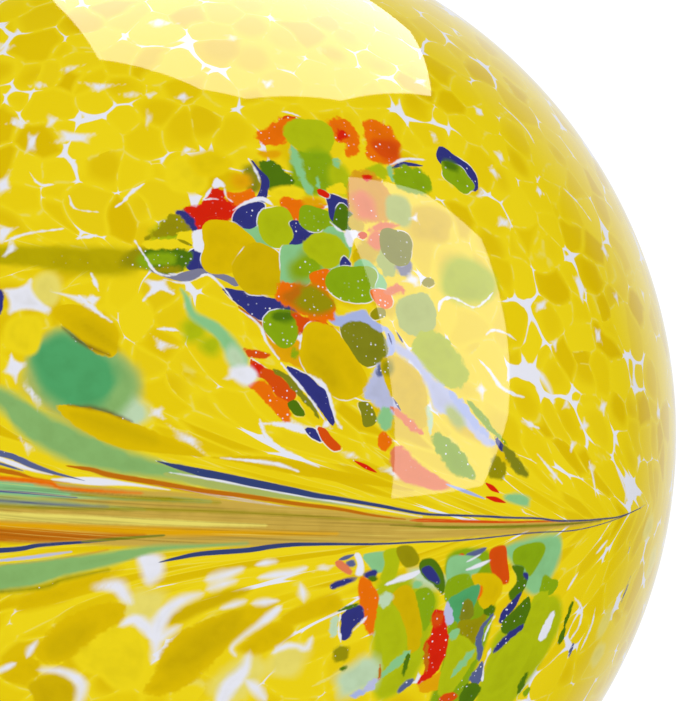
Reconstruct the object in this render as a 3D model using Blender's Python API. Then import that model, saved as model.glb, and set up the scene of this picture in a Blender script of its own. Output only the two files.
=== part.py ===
"""Gazing ball: one blown glass ball that rests on a small flat spot ground on its underside.

Units are metres and +Z is up. The origin is the middle of the flat spot, and -Y is the side
that is looked at. The real ball is a thin sealed bubble of glass, silvered inside, so nothing
of its hollow can be reached and it is one solid here.
"""

import math

import bmesh
import bpy

# Real sizes
BALL_DIAMETER = 0.254
FLAT_SPOT_DIAMETER = 0.042

# How finely the round surface is divided
MERIDIANS = 80
PARALLELS = 40

# Points of the surface closer than this to the plane of the flat spot are taken as on it
CUT_TOLERANCE = 1e-7

# Two faces that meet at more than this many degrees show an edge, as at the flat spot's rim
EDGE_ANGLE = 8.0

# Glass as it looks on the whole: opaque yellow under a clear, fire-polished skin
GLASS_YELLOW = (0.78, 0.56, 0.02, 1.0)
GLASS_ROUGHNESS = 0.05

COLLECTION_NAME = "gazing_ball"


def centre_height() -> float:
    """Height of the ball's centre when it stands on its flat spot."""
    return math.sqrt((BALL_DIAMETER / 2) ** 2 - (FLAT_SPOT_DIAMETER / 2) ** 2)


def clear_scene() -> None:
    """Removes every object that the scene holds."""
    for old in list(bpy.data.objects):
        bpy.data.objects.remove(old, do_unlink=True)


def new_collection(name: str) -> bpy.types.Collection:
    """Makes a collection and links it to the scene."""
    collection = bpy.data.collections.new(name)
    bpy.context.scene.collection.children.link(collection)
    return collection


def glass_material() -> bpy.types.Material:
    """The ball's glass as one plain finish."""
    material = bpy.data.materials.new("yellow_glass")
    material.use_nodes = True
    shader = material.node_tree.nodes["Principled BSDF"]
    shader.inputs["Base Color"].default_value = GLASS_YELLOW
    shader.inputs["Roughness"].default_value = GLASS_ROUGHNESS
    shader.inputs["Metallic"].default_value = 0.0
    return material


def ball_mesh() -> bpy.types.Mesh:
    """A sphere about its own centre, cut flat below where the flat spot is ground."""
    mesh = bpy.data.meshes.new("glass_ball")
    shape = bmesh.new()
    bmesh.ops.create_uvsphere(
        shape, u_segments=MERIDIANS, v_segments=PARALLELS, radius=BALL_DIAMETER / 2
    )
    cut = bmesh.ops.bisect_plane(
        shape,
        geom=shape.verts[:] + shape.edges[:] + shape.faces[:],
        dist=CUT_TOLERANCE,
        plane_co=(0.0, 0.0, -centre_height()),
        plane_no=(0.0, 0.0, 1.0),
        clear_inner=True,
    )
    rim = [item for item in cut["geom_cut"] if isinstance(item, bmesh.types.BMEdge)]
    flat_spot = bmesh.ops.contextual_create(shape, geom=rim)["faces"]
    bmesh.ops.poke(shape, faces=flat_spot)
    bmesh.ops.recalc_face_normals(shape, faces=shape.faces[:])
    shape.to_mesh(mesh)
    shape.free()
    mesh.shade_smooth()
    mesh.set_sharp_from_angle(angle=math.radians(EDGE_ANGLE))
    return mesh


def build_ball(collection: bpy.types.Collection) -> bpy.types.Object:
    """The glass ball, standing on its flat spot at the origin."""
    ball = bpy.data.objects.new("glass_ball", ball_mesh())
    ball.data.materials.append(glass_material())
    ball.location = (0.0, 0.0, centre_height())
    collection.objects.link(ball)
    return ball


def main() -> None:
    """Builds the gazing ball in a scene of its own."""
    clear_scene()
    build_ball(new_collection(COLLECTION_NAME))


if __name__ == "__main__":
    main()
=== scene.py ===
"""Looks of the gazing ball: a blown glass ball with coloured chips melted into yellow glass.

Units are metres in Blender and millimetres in the names that end in mm. Places on the ball are
given as longitude and latitude in degrees: longitude 0 faces -Y and grows to the right of
someone who looks at it, and latitude 90 is the top.
"""

import logging
import math
from dataclasses import dataclass, field, replace
from enum import Enum
from typing import Callable, Iterable, Sequence, Union

import bmesh
import bpy
import numpy as np
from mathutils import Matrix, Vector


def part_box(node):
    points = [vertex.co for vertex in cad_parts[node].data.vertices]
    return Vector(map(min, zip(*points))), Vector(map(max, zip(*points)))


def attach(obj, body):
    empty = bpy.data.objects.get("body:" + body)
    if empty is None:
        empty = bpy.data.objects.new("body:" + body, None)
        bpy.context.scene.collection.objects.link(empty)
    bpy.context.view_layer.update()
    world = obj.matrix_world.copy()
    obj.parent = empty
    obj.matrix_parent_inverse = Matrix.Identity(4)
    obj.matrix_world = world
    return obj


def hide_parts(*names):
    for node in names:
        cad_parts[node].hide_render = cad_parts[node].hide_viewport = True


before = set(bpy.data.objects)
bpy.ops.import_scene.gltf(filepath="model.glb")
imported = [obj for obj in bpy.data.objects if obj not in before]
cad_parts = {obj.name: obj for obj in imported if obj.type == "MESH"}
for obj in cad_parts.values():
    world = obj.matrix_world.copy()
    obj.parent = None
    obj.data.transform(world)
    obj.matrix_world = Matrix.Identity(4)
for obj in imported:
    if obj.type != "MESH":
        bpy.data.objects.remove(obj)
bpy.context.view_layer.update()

log = logging.getLogger("gazing_ball")

MM = 0.001
BALL_NODE = "glass_ball"
GLASS_SLOT = "art_glass"
BODY = "root"

# Seed of every random draw
SEED = 41

# Softness is kept as a share of this
SOFTEST_MM = 2.2

Setting = Union[float, tuple, bpy.types.NodeSocket]


def linear(shade: Sequence[float]) -> tuple[float, float, float]:
    """Turns a screen colour into the linear colour that shaders take.

    Args:
        shade: Red, green and blue from 0 to 255.

    Returns:
        Linear red, green and blue from 0 to 1.
    """
    parts = [value / 255.0 for value in shade]
    return tuple(p / 12.92 if p <= 0.04045 else ((p + 0.055) / 1.055) ** 2.4 for p in parts)


class Glass(Enum):
    """Colours of glass that the ball is made with, as they look on a screen."""

    YELLOW = (231, 203, 14)
    BRIGHT_YELLOW = (238, 214, 26)
    CHIP_GOLD = (219, 186, 6)
    GOLD = (207, 176, 6)
    PALE_YELLOW = (232, 218, 105)
    AMBER = (225, 165, 10)
    LIME = (176, 188, 18)
    LEAF = (136, 168, 18)
    DARK_LEAF = (80, 116, 16)
    OLIVE = (150, 142, 12)
    BRANCH = (184, 168, 6)
    MINT = (138, 197, 135)
    PALE_MINT = (190, 215, 178)
    TEAL = (80, 164, 102)
    TAIL = (136, 181, 106)
    NAVY = (50, 53, 125)
    BLUE_GREY = (52, 66, 116)
    SLATE = (88, 98, 140)
    STEEL = (124, 124, 149)
    SKY = (168, 180, 225)
    LAVENDER = (185, 190, 222)
    RED = (214, 36, 14)
    BLAZE = (214, 78, 15)
    ORANGE = (234, 112, 10)
    PEACH = (216, 158, 26)
    SALMON = (225, 124, 80)
    TAN = (201, 168, 72)
    RUST = (190, 108, 16)
    MOSS = (129, 130, 27)
    SAGE = (170, 183, 97)
    UMBER = (96, 70, 24)
    SILVER = (231, 232, 242)


class Form(Enum):
    """Outlines that a melted chip can have."""

    PEBBLE = "pebble"
    SHARD = "shard"
    CUSP = "cusp"


@dataclass(frozen=True)
class Chip:
    """One chip of glass melted into the wall, or one gap between chips.

    Its length lies along turn, in degrees counter-clockwise from the right, and soft is how far
    its border blurs, all in millimetres.
    """

    glass: Glass
    lon: float
    lat: float
    long_mm: float
    wide_mm: float
    turn: float = 0.0
    form: Form = Form.PEBBLE
    soft: float = 0.12


@dataclass(frozen=True)
class Streak:
    """One drawn thread of glass through (longitude, latitude, width in mm) points."""

    glass: Glass
    points: tuple[tuple[float, float, float], ...]
    soft: float = 0.14


@dataclass(frozen=True)
class Patch:
    """One melted piece of glass with a free outline through (longitude, latitude) points."""

    glass: Glass
    outline: tuple[tuple[float, float], ...]
    soft: float = 0.15


Mark = Union[Chip, Streak, Patch]


def directions(lon: np.ndarray, lat: np.ndarray) -> np.ndarray:
    """Unit vectors from the ball's centre.

    Args:
        lon: Longitudes in degrees.
        lat: Latitudes in degrees.

    Returns:
        One row of x, y and z for each place.
    """
    a, b = np.radians(lon), np.radians(lat)
    return np.stack([np.sin(a) * np.cos(b), -np.cos(a) * np.cos(b), np.sin(b)], axis=-1)


def compass(lon: float, lat: float) -> tuple[np.ndarray, np.ndarray, np.ndarray]:
    """Outward, rightward and upward unit vectors at one place on the ball."""
    a, b = math.radians(lon), math.radians(lat)
    outward = np.array([math.sin(a) * math.cos(b), -math.cos(a) * math.cos(b), math.sin(b)])
    rightward = np.array([math.cos(a), math.sin(a), 0.0])
    return outward, rightward, np.cross(outward, rightward)


def smooth_path(points: Sequence[Sequence[float]], pieces: int = 6,
                closed: bool = False) -> np.ndarray:
    """Runs a smooth curve through given points.

    Args:
        points: The points, each with as many values as wanted.
        pieces: How many short pieces each stretch is divided into.
        closed: Whether the curve comes back to its first point.

    Returns:
        The curve's points, one row each.
    """
    known = np.array(points, dtype=float)
    if closed:
        known = np.vstack([known, known[0]])
        padded = np.vstack([known[-2], known, known[1]])
    else:
        padded = np.vstack([2 * known[0] - known[1], known, 2 * known[-1] - known[-2]])
    rows = []
    for i in range(len(known) - 1):
        a, b, c, d = padded[i : i + 4]
        for t in np.linspace(0.0, 1.0, pieces, endpoint=False):
            rows.append(
                0.5
                * (2 * b + (c - a) * t + (2 * a - 5 * b + 4 * c - d) * t**2
                   + (3 * b - a - 3 * c + d) * t**3)
            )
    rows.append(known[-1])
    return np.array(rows)


class Shapes:
    """Signed distances to the outlines of chips, in millimetres and negative inside."""

    @staticmethod
    def pebble(x: np.ndarray, y: np.ndarray, a: float, b: float,
               draw: np.random.Generator) -> np.ndarray:
        """A rounded, slightly uneven oval.

        Args:
            x: Distances along the chip.
            y: Distances across the chip.
            a: Half of its length.
            b: Half of its width.
            draw: Source of the unevenness.

        Returns:
            The signed distances.
        """
        angle = np.arctan2(y / b, x / a)
        swell = np.ones_like(x)
        for lobes, depth in ((2, 0.05), (3, 0.06), (4, 0.035), (5, 0.03)):
            swell += depth * draw.normal() * np.cos(lobes * angle + draw.uniform(0, 2 * math.pi))
        power = 2.25
        size = (np.abs(x / a) ** power + np.abs(y / b) ** power) ** (1 / power)
        slope = np.hypot(x / a**2, y / b**2) / np.maximum(np.hypot(x / a, y / b), 1e-6)
        slope = np.maximum(slope, 0.5 / max(a, b))
        return (size / swell - 1.0) / slope

    @staticmethod
    def shard(x: np.ndarray, y: np.ndarray, a: float, b: float,
              draw: np.random.Generator) -> np.ndarray:
        """A broken chip with five to seven nearly straight sides.

        Args:
            x: Distances along the chip.
            y: Distances across the chip.
            a: Half of its length.
            b: Half of its width.
            draw: Source of its corners.

        Returns:
            The signed distances.
        """
        sides = int(draw.integers(5, 8))
        turn = draw.uniform(0, 2 * math.pi)
        angles = turn + (np.arange(sides) + draw.uniform(-0.28, 0.28, sides)) * 2 * math.pi / sides
        reach = draw.uniform(0.92, 1.16, sides)
        corners = np.stack([a * reach * np.cos(angles), b * reach * np.sin(angles)], axis=-1)
        rounding = 0.12 * min(a, b)
        total = np.zeros_like(x)
        for start, end in zip(corners, np.roll(corners, -1, axis=0)):
            side = end - start
            normal = np.array([side[1], -side[0]]) / np.hypot(*side)
            away = (x - start[0]) * normal[0] + (y - start[1]) * normal[1]
            total += np.exp(np.clip(away / rounding, -40, 40))
        return rounding * np.log(total)

    @staticmethod
    def cusp(x: np.ndarray, y: np.ndarray, a: float, b: float,
             draw: np.random.Generator) -> np.ndarray:
        """The hollow-sided gap that three or four touching chips leave between them.

        Args:
            x: Distances along the gap.
            y: Distances across the gap.
            a: Half of its length.
            b: Half of its width.
            draw: Source of its turn and of its neighbours' sizes.

        Returns:
            The signed distances.
        """
        neighbours = 3 if draw.uniform() < 0.55 else 4
        turn = draw.uniform(0, 2 * math.pi)
        step = 2 * math.pi / neighbours
        tip = math.cos(step / 2)
        u, v = x / a, y / b
        depth = np.full_like(x, -10.0)
        for i in range(neighbours):
            angle = turn + step * (i + draw.uniform(-0.12, 0.12))
            away = (1.12 / tip) * draw.uniform(0.95, 1.08)
            radius = away * math.sin(step / 2) * draw.uniform(0.95, 1.0)
            gap = radius - np.hypot(u - away * math.cos(angle), v - away * math.sin(angle))
            depth = np.maximum(depth, gap)
        depth = np.maximum(depth, np.hypot(u, v) - 1.05)
        return depth * min(a, b) * 1.6


SHAPERS: dict[Form, Callable] = {
    Form.PEBBLE: Shapes.pebble,
    Form.SHARD: Shapes.shard,
    Form.CUSP: Shapes.cusp,
}


def gaps(*places: tuple[float, float, float, float, float], grow: float = 1.2,
         soft: float = 0.85) -> tuple[Chip, ...]:
    """Makes silvery gaps between chips.

    Args:
        places: Longitude, latitude, length, width and turn of each.
        grow: How much bigger each is made.
        soft: How far their borders blur, in millimetres.

    Returns:
        The gaps.
    """
    return tuple(
        Chip(Glass.SILVER, lon, lat, long_mm * grow, wide_mm * grow, turn, Form.CUSP, soft)
        for lon, lat, long_mm, wide_mm, turn in places
    )


def hairlines(*paths: tuple[tuple[float, float, float], ...],
              soft: float = 0.26) -> tuple[Streak, ...]:
    """Silvery lines through (longitude, latitude, width in mm) points."""
    return tuple(Streak(Glass.SILVER, path, soft=soft) for path in paths)


# Soft stains that lie deepest, in the order in which they were laid
STAINS: tuple[Mark, ...] = (
    Chip(Glass.BRANCH, -15.5, 26.7, 26, 5.2, 2, soft=1.2),
    Chip(Glass.BRANCH, -8.0, 26.4, 26, 7.5, -2, soft=1.6),
    Chip(Glass.OLIVE, -1.0, 26.6, 12, 6.0, 0, soft=1.2),
    Chip(Glass.LEAF, -0.2, 26.4, 8, 4.6, 4, soft=1.4),
    Streak(Glass.TAIL, ((-24, 13.5, 3), (-17, 11, 5), (-13.5, 8.5, 7.5), (-9, 6.3, 8.5),
                        (-4, 4.6, 6.5), (0, 3.8, 4.5), (5, 2.6, 2.5), (8, 2.0, 0.8)), soft=1.6),
    Chip(Glass.SAGE, -8.0, 13.2, 29, 21, -28, soft=2.1),
    Chip(Glass.PALE_MINT, -3.4, 10.2, 12, 8, -35, soft=2.0),
    Chip(Glass.TAIL, -8.0, 13.6, 26.5, 19, -28, soft=2.1),
    Chip(Glass.TEAL, -8.8, 13.8, 20, 15, -28, soft=2.1),
    Chip(Glass.TEAL, -10.8, 15.2, 12, 13, 50, soft=2.1),
    Chip(Glass.NAVY, -19.0, 21.2, 5, 8.5, 0, soft=0.3),
    Chip(Glass.PALE_YELLOW, -12.8, 23, 7, 9, 0, soft=1.4),
    Chip(Glass.LIME, 4.4, 18.7, 6, 6, 0, soft=1.8),
    Chip(Glass.LIME, 6.2, 16.9, 5, 5, 0, soft=1.6),
    Chip(Glass.OLIVE, 13.2, 36.2, 5, 8.5, 0, soft=1.5),
    Chip(Glass.AMBER, 16, 39, 6, 2.5, 0, soft=0.8),
    Chip(Glass.LEAF, 3.2, 29.4, 13, 8, -12, soft=2.0),
    Chip(Glass.LIME, 2.6, 27.6, 12, 7, -8, soft=1.8),
)

# Golden chips of the field that stand out
GOLDEN: tuple[Mark, ...] = (
    Chip(Glass.CHIP_GOLD, -7.5, 18.9, 18.5, 8, -32, soft=0.28),
    Chip(Glass.GOLD, -6.6, 18.2, 13, 4, -34, soft=1.6),
    Streak(Glass.UMBER, ((-10.6, 18.9, 0.1), (-8.0, 17.1, 0.8), (-5.0, 15.9, 0.3)), soft=0.9),
    Patch(Glass.CHIP_GOLD, ((-10.9, 10.3), (-8.8, 10.5), (-4.8, 9.7), (-0.5, 8.0), (2.6, 6.6),
                            (5.6, 5.0), (1.0, 5.4), (-3.8, 6.0), (-8.0, 7.8)), soft=0.28),
    Streak(Glass.GOLD, ((-9.0, 9.6, 1.0), (-5.0, 8.4, 3.4), (0.0, 6.8, 2.0)), soft=1.4),
    Streak(Glass.UMBER, ((-9.6, 10.5, 0.1), (-6, 10.1, 0.6), (-2.4, 8.8, 0.3)), soft=0.9),
    Chip(Glass.BRIGHT_YELLOW, -15, 18, 9.5, 10.5, 0, soft=0.8),
    Chip(Glass.PALE_YELLOW, -1.5, -11.5, 12, 8, 30, soft=2.1),
    Chip(Glass.PALE_YELLOW, 9.5, -20.0, 16, 9, 40, soft=2.1),
    Chip(Glass.PALE_YELLOW, 15.0, -18.0, 9, 9, 0, soft=2.1),
    Chip(Glass.BRIGHT_YELLOW, -4.5, -17, 18, 17, 30, soft=1.2),
    Patch(Glass.CHIP_GOLD, ((-13.8, -17.2), (-12.6, -15.2), (-10.6, -13.2), (-8.0, -11.8),
                            (-5.0, -10.8), (-3.2, -11.4), (-3.8, -13.2), (-5.6, -14.2),
                            (-8.0, -16.0), (-10.0, -17.6), (-12.0, -18.2)), soft=0.6),
    Chip(Glass.GOLD, -9.8, -15.4, 13, 6, 34, soft=2.1),
    Patch(Glass.CHIP_GOLD, ((13.4, -10.9), (11.0, -11.3), (8.0, -12.1), (5.0, -13.1),
                            (2.6, -14.3), (1.0, -15.8), (0.3, -17.4), (-0.2, -19.2),
                            (-1.4, -21.6), (1.2, -21.8), (4.0, -20.4), (6.0, -18.5),
                            (8.0, -16.1), (10.2, -14.2), (12.4, -12.6)), soft=0.6),
    Chip(Glass.GOLD, 5.4, -15.6, 24, 8, 36, soft=2.1),
    Patch(Glass.CHIP_GOLD, ((-14.8, -10.3), (-11.0, -9.0), (-7.0, -7.7), (-3.4, -7.0),
                            (-5.0, -8.2), (-7.5, -9.6), (-10.0, -10.9), (-12.5, -11.7),
                            (-15.5, -12.2)), soft=1.2),
    Patch(Glass.GOLD, ((0.9, -13.2), (2.2, -11.8), (4.6, -10.7), (8.0, -9.4), (10.6, -9.5),
                       (8.4, -10.8), (5.2, -12.0), (2.6, -13.2)), soft=0.9),
    Patch(Glass.CHIP_GOLD, ((13.8, -12.8), (16.5, -11.3), (20.0, -10.3), (21.0, -12.2),
                            (18.0, -13.1), (15.0, -13.8)), soft=0.8),
    Patch(Glass.CHIP_GOLD, ((9.2, -16.4), (10.4, -15.0), (12.6, -13.4), (15.0, -13.4),
                            (15.4, -15.0), (13.4, -16.4), (11.0, -17.2)), soft=0.9),
    Chip(Glass.BRIGHT_YELLOW, 4.2, 36.6, 11, 11, 0, soft=0.9),
    Chip(Glass.YELLOW, 7.4, 38.0, 10, 8, 0, soft=0.9),
    Chip(Glass.CHIP_GOLD, -15.5, -19.0, 10, 6.5, 20, soft=0.6),
    Chip(Glass.GOLD, -12.0, -21.6, 12, 9, 20, soft=0.8),
)

# Chips of the coloured cluster above the band, the lowest first
CLUSTER: tuple[Mark, ...] = (
    Patch(Glass.ORANGE, ((14.5, 41.6), (17.3, 43.1), (19.7, 44.0), (21.5, 43.6), (19.9, 42.5),
                         (19.6, 41.2), (17.7, 40.2), (15.7, 40.1), (14.8, 40.7)), soft=0.5),
    Streak(Glass.BLAZE, ((19.0, 43.6, 0.4), (20.0, 43.9, 1.0), (21.4, 43.6, 0.4))),
    *hairlines(((19.2, 44.6, 0.2), (20.4, 44.4, 0.7), (22.2, 43.8, 0.2))),
    Patch(Glass.ORANGE, ((26.2, 43.2), (29.3, 43.2), (30.1, 41.2), (29.4, 38.8), (27.2, 38.3),
                         (27.4, 39.9), (26.2, 40.5), (25.8, 42.0)), soft=0.5),
    Chip(Glass.RED, 27.5, 41.2, 2.8, 3.0, 0, soft=0.4),
    Patch(Glass.ORANGE, ((31.7, 42.6), (33.5, 43.0), (35.9, 42.0), (36.4, 39.6), (34.6, 37.1),
                         (32.4, 37.0), (30.4, 37.8), (30.6, 39.4), (31.4, 41.0)), soft=0.5),
    Chip(Glass.BLAZE, 34.0, 38.9, 8, 6.5, -20, soft=1.2),
    Chip(Glass.LEAF, 21.8, 36.6, 13, 14, 0, soft=1.3),
    Chip(Glass.LIME, 25.2, 35.6, 6, 9, 0, soft=1.4),
    Chip(Glass.LIME, 22.6, 41.2, 12.5, 11, 0, soft=0.3),
    Chip(Glass.LEAF, 22.4, 38.4, 9, 4, 0, soft=1.4),
    Streak(Glass.MINT, ((19.4, 39.7, 1.4), (19.6, 37.6, 2.6), (19.9, 35.6, 1.6),
                        (20.4, 34.3, 2.6)), soft=0.6),
    Chip(Glass.MINT, 21.9, 35.2, 1.0, 4, 0, soft=0.4),
    Chip(Glass.MINT, 25.4, 37.7, 2.6, 2.2, 0, soft=0.5),
    Chip(Glass.MINT, 33, 35.8, 1.8, 5, 0, soft=0.4),
    Chip(Glass.LIME, 31.0, 36.2, 6, 4, 0, soft=0.6),
    Streak(Glass.NAVY, ((33.6, 36.5, 0.6), (35.6, 36.9, 1.4), (38.6, 36.5, 0.6))),
    Chip(Glass.LEAF, 36.0, 34.8, 10.5, 8.2, -15, soft=0.45),
    *hairlines(((33.4, 36.9, 0.3), (36.2, 37.5, 0.8), (39.6, 37.2, 0.3))),
    Patch(Glass.NAVY, ((43.4, 38.8), (45.2, 37.4), (47.0, 35.9), (47.2, 34.2), (45.6, 32.7),
                       (42.6, 35.4), (41.6, 37.4))),
    Chip(Glass.LEAF, 43.7, 34.7, 9.6, 7.4, -50),
    Chip(Glass.DARK_LEAF, 43.5, 36.2, 5, 3, -30, soft=0.9),
    *gaps((46.9, 32.5, 4, 2, 0), (43.0, 40.1, 1.6, 4.4, 0)),
    Chip(Glass.MOSS, 12.7, 35.8, 3, 7.4, 0, soft=1.0),
    Patch(Glass.DARK_LEAF, ((14.2, 37.9), (15.9, 38.3), (17.3, 37.3), (18.6, 35.9), (17.9, 34.6),
                            (16.7, 33.9), (15.0, 34.4), (14.4, 35.9)), soft=0.4),
    Streak(Glass.NAVY, ((13.2, 38.3, 0.5), (14.0, 36.9, 1.0), (14.6, 35.7, 2.1),
                        (14.2, 34.4, 2.1), (13.6, 33.3, 2.8))),
    *hairlines(((12.8, 38.5, 0.3), (13.6, 36.8, 0.7), (13.9, 35.4, 0.3))),
    Patch(Glass.ORANGE, ((9.2, 34.5), (10.6, 34.3), (12.6, 34.8), (13.0, 33.4), (11.6, 32.7),
                         (10.2, 32.4), (9.2, 33.2)), soft=0.3),
    Chip(Glass.AMBER, 11.4, 35.7, 5, 4.4, 0, soft=1.5),
    Patch(Glass.NAVY, ((2.4, 32.3), (4.8, 32.3), (6.4, 31.4), (5.9, 29.6), (4.0, 29.6),
                       (3.3, 31.1)), soft=0.5),
    Patch(Glass.OLIVE, ((2.0, 31.8), (3.4, 31.1), (4.4, 29.3), (2.4, 29.3), (-1.4, 28.9),
                        (0.2, 30.3)), soft=0.5),
    Patch(Glass.RED, ((3.5, 32.6), (5.8, 33.1), (7.3, 34.9), (9.0, 34.6), (9.2, 33.5),
                      (10.6, 32.6), (9.8, 31.2), (7.2, 30.7), (5.4, 29.7), (4.7, 31.2)),
          soft=0.4),
    Patch(Glass.SILVER, ((7.3, 35.0), (8.2, 36.3), (9.3, 35.0), (8.4, 35.0)), soft=0.3),
    *hairlines(((6.0, 33.4, 0.2), (6.8, 34.3, 0.6), (7.4, 35.1, 0.3)),
               ((9.0, 34.9, 0.4), (9.2, 33.8, 0.5), (9.9, 33.2, 0.2)),
               ((6.2, 33.5, 0.2), (7.4, 33.6, 0.5), (8.2, 33.5, 0.2))),
    Patch(Glass.BRIGHT_YELLOW, ((-1.8, 28.4), (0.6, 28.9), (2.4, 29.0), (2.7, 29.6), (4.6, 29.7),
                                (4.7, 27.6), (0.0, 27.5)), soft=0.3),
    Streak(Glass.OLIVE, ((2.6, 28.9, 0.4), (3.6, 28.5, 1.1), (4.5, 28.1, 0.4)), soft=0.2),
    Patch(Glass.NAVY, ((4.3, 27.7), (6.2, 27.6), (6.4, 25.2), (4.0, 25.3), (3.6, 26.3))),
    Patch(Glass.SILVER, ((4.6, 29.7), (6.2, 29.8), (6.4, 27.5), (4.7, 27.6)), soft=0.3),
    Streak(Glass.STEEL, ((-0.4, 25.3, 0.8), (1.8, 24.6, 1.2), (3.8, 24.6, 2.8), (5.6, 25.1, 1.8),
                         (7.5, 24.7, 1.6), (9.6, 23.8, 2.2))),
    Patch(Glass.DARK_LEAF, ((-1.4, 27.6), (1.6, 27.7), (4.4, 27.5), (4.0, 26.1), (2.9, 25.2),
                            (1.6, 24.8), (0.3, 25.0), (-0.7, 26.0)), soft=0.5),
    Chip(Glass.LEAF, 0.6, 26.6, 8, 3.4, 0, soft=0.9),
    Chip(Glass.OLIVE, 1.4, 25.4, 7, 1.8, 0, soft=0.7),
    *hairlines(((-2.5, 28.7, 0.5), (-1.2, 26.8, 0.5), (0, 25.2, 0.6), (1.7, 24.7, 0.5),
                (3.2, 25.1, 0.2)),
               ((1.0, 24.3, 0.2), (3.2, 23.9, 0.6), (4.6, 24.2, 0.4), (6.2, 24.8, 0.6),
                (7.8, 23.5, 0.5), (8.9, 22.0, 0.3))),
    Patch(Glass.MINT, ((10.8, 30.3), (12.9, 30.4), (13.6, 31.2), (15.0, 30.2), (14.8, 27.6),
                       (11.6, 27.4), (10.6, 28.8)), soft=0.3),
    Patch(Glass.NAVY, ((9.6, 31.0), (10.6, 32.5), (12.8, 33.2), (14.1, 32.8), (13.6, 31.5),
                       (12.7, 30.3), (11.7, 29.9), (10.5, 30.2))),
    *hairlines(((9.8, 32.2, 0.2), (11.2, 32.9, 0.6), (12.8, 33.4, 1.1), (14.2, 33.4, 1.3),
                (15.2, 32.6, 0.3))),
    Chip(Glass.CHIP_GOLD, 8.7, 27.9, 13.0, 14.2, 0),
    Chip(Glass.GOLD, 12.5, 25.2, 12.8, 13.4, 0),
    Chip(Glass.BRIGHT_YELLOW, 17.4, 34.1, 9, 4, 0, soft=0.8),
    Patch(Glass.ORANGE, ((16.3, 33.6), (18.4, 33.4), (20.4, 32.8), (22.6, 32.6), (21.0, 31.6),
                         (18.6, 30.6), (17.3, 30.2), (16.2, 31.3)), soft=0.3),
    Chip(Glass.AMBER, 20.6, 32.9, 6, 2.6, -10, soft=0.8),
    Chip(Glass.LIME, 15.2, 30.1, 8.8, 11.6, 0),
    Patch(Glass.NAVY, ((16.9, 30.6), (18.0, 30.8), (19.2, 29.9), (20.9, 29.5), (22.4, 29.9),
                       (21.2, 28.3), (19.3, 27.6), (17.6, 27.7), (16.3, 27.9), (17.2, 29.0))),
    Chip(Glass.LEAF, 20.4, 30.9, 9.0, 6.8, -12),
    Patch(Glass.NAVY, ((22.7, 33.9), (24.7, 33.3), (26.2, 32.3), (25.4, 30.4), (23.6, 29.4),
                       (22.4, 30.8), (22.4, 32.4))),
    Chip(Glass.RED, 22.2, 33.9, 3.6, 1.9, -35),
    Chip(Glass.BRIGHT_YELLOW, 24.4, 34.3, 5, 3.2, 0, soft=0.5),
    Chip(Glass.DARK_LEAF, 24.2, 30.7, 5.8, 7.2, -20),
    Patch(Glass.GOLD, ((24.7, 30.6), (26.2, 31.3), (26.8, 29.8), (26.0, 28.8), (24.9, 29.3)),
          soft=0.3),
    Patch(Glass.MINT, ((15.4, 27.8), (17.4, 28.0), (18.6, 28.2), (19.4, 28.7), (20.6, 29.2),
                       (22.4, 30.0), (24.3, 28.7), (24.4, 27.1), (23.4, 25.7), (21.2, 24.9),
                       (19.3, 24.5), (17.8, 23.2), (15.0, 23.0), (15.0, 25.5))),
    Chip(Glass.LEAF, 18.2, 25.4, 10, 7, 20, soft=1.8),
    Chip(Glass.LIME, 21.1, 27.3, 11.0, 8.8, -25, soft=0.3),
    Patch(Glass.SILVER, ((23.8, 29.3), (26.0, 29.2), (25.0, 28.2), (24.2, 27.4)), soft=0.3),
    *hairlines(((22.3, 30.5, 0.3), (23.2, 29.5, 0.7), (24.2, 29.1, 0.4))),
    Chip(Glass.GOLD, 26.4, 26.7, 6, 8.6, -60, soft=0.5),
    Chip(Glass.BLAZE, 26.2, 28.7, 3.4, 2.4, 0, Form.SHARD),
    Patch(Glass.NAVY, ((23.1, 26.5), (24.1, 25.3), (22.4, 25.2))),
    Chip(Glass.OLIVE, 21.3, 24.0, 3.0, 4.4, 0),
    Patch(Glass.ORANGE, ((18.4, 24.5), (20.8, 25.1), (21.2, 24.0), (20.9, 22.8), (19.1, 23.0))),
    Patch(Glass.ORANGE, ((14.6, 23.7), (17.6, 23.5), (19.8, 23.2), (21.0, 21.6), (20.6, 19.2),
                         (18.1, 19.5), (16.1, 20.6), (14.2, 21.8)), soft=0.5),
    Chip(Glass.RUST, 17.8, 21.8, 11, 6.4, -20, soft=1.2),
    Chip(Glass.OLIVE, 18.7, 21.6, 10, 6.0, -20, soft=1.5),
    Patch(Glass.MINT, ((24.0, 25.3), (25.6, 26.0), (26.8, 25.3), (27.9, 23.6), (27.9, 22.2),
                       (26.2, 22.4), (25.0, 24.0)), soft=0.3),
    Chip(Glass.LEAF, 23.7, 23.3, 13.4, 9.6, -5),
    Patch(Glass.ORANGE, ((25.8, 22.5), (28.0, 22.3), (28.5, 20.9), (27.4, 20.2), (26.2, 21.0))),
    Chip(Glass.OLIVE, 26.3, 19.8, 4.6, 3.6, 0, Form.SHARD),
    Chip(Glass.PEACH, 28.7, 33.1, 13, 14, 0, soft=0.6),
    Chip(Glass.SALMON, 27.6, 32.2, 6, 8, 10, soft=1.4),
    Chip(Glass.RED, 29.2, 35.6, 3.6, 1.6, -10, soft=0.4),
    Chip(Glass.SAGE, 32.3, 31.4, 7, 9, -30, soft=0.8),
    Streak(Glass.SALMON, ((27.4, 29.3, 1), (29.5, 29.6, 2.4), (31.6, 29.6, 0.8)), soft=0.6),
    Chip(Glass.SALMON, 28.0, 28.0, 5, 5, 0, soft=0.8),
    Chip(Glass.SAGE, 28.6, 25.4, 5, 7, 0, soft=0.4),
    Chip(Glass.STEEL, 30.9, 24.9, 5, 5, 0, soft=0.5),
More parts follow.
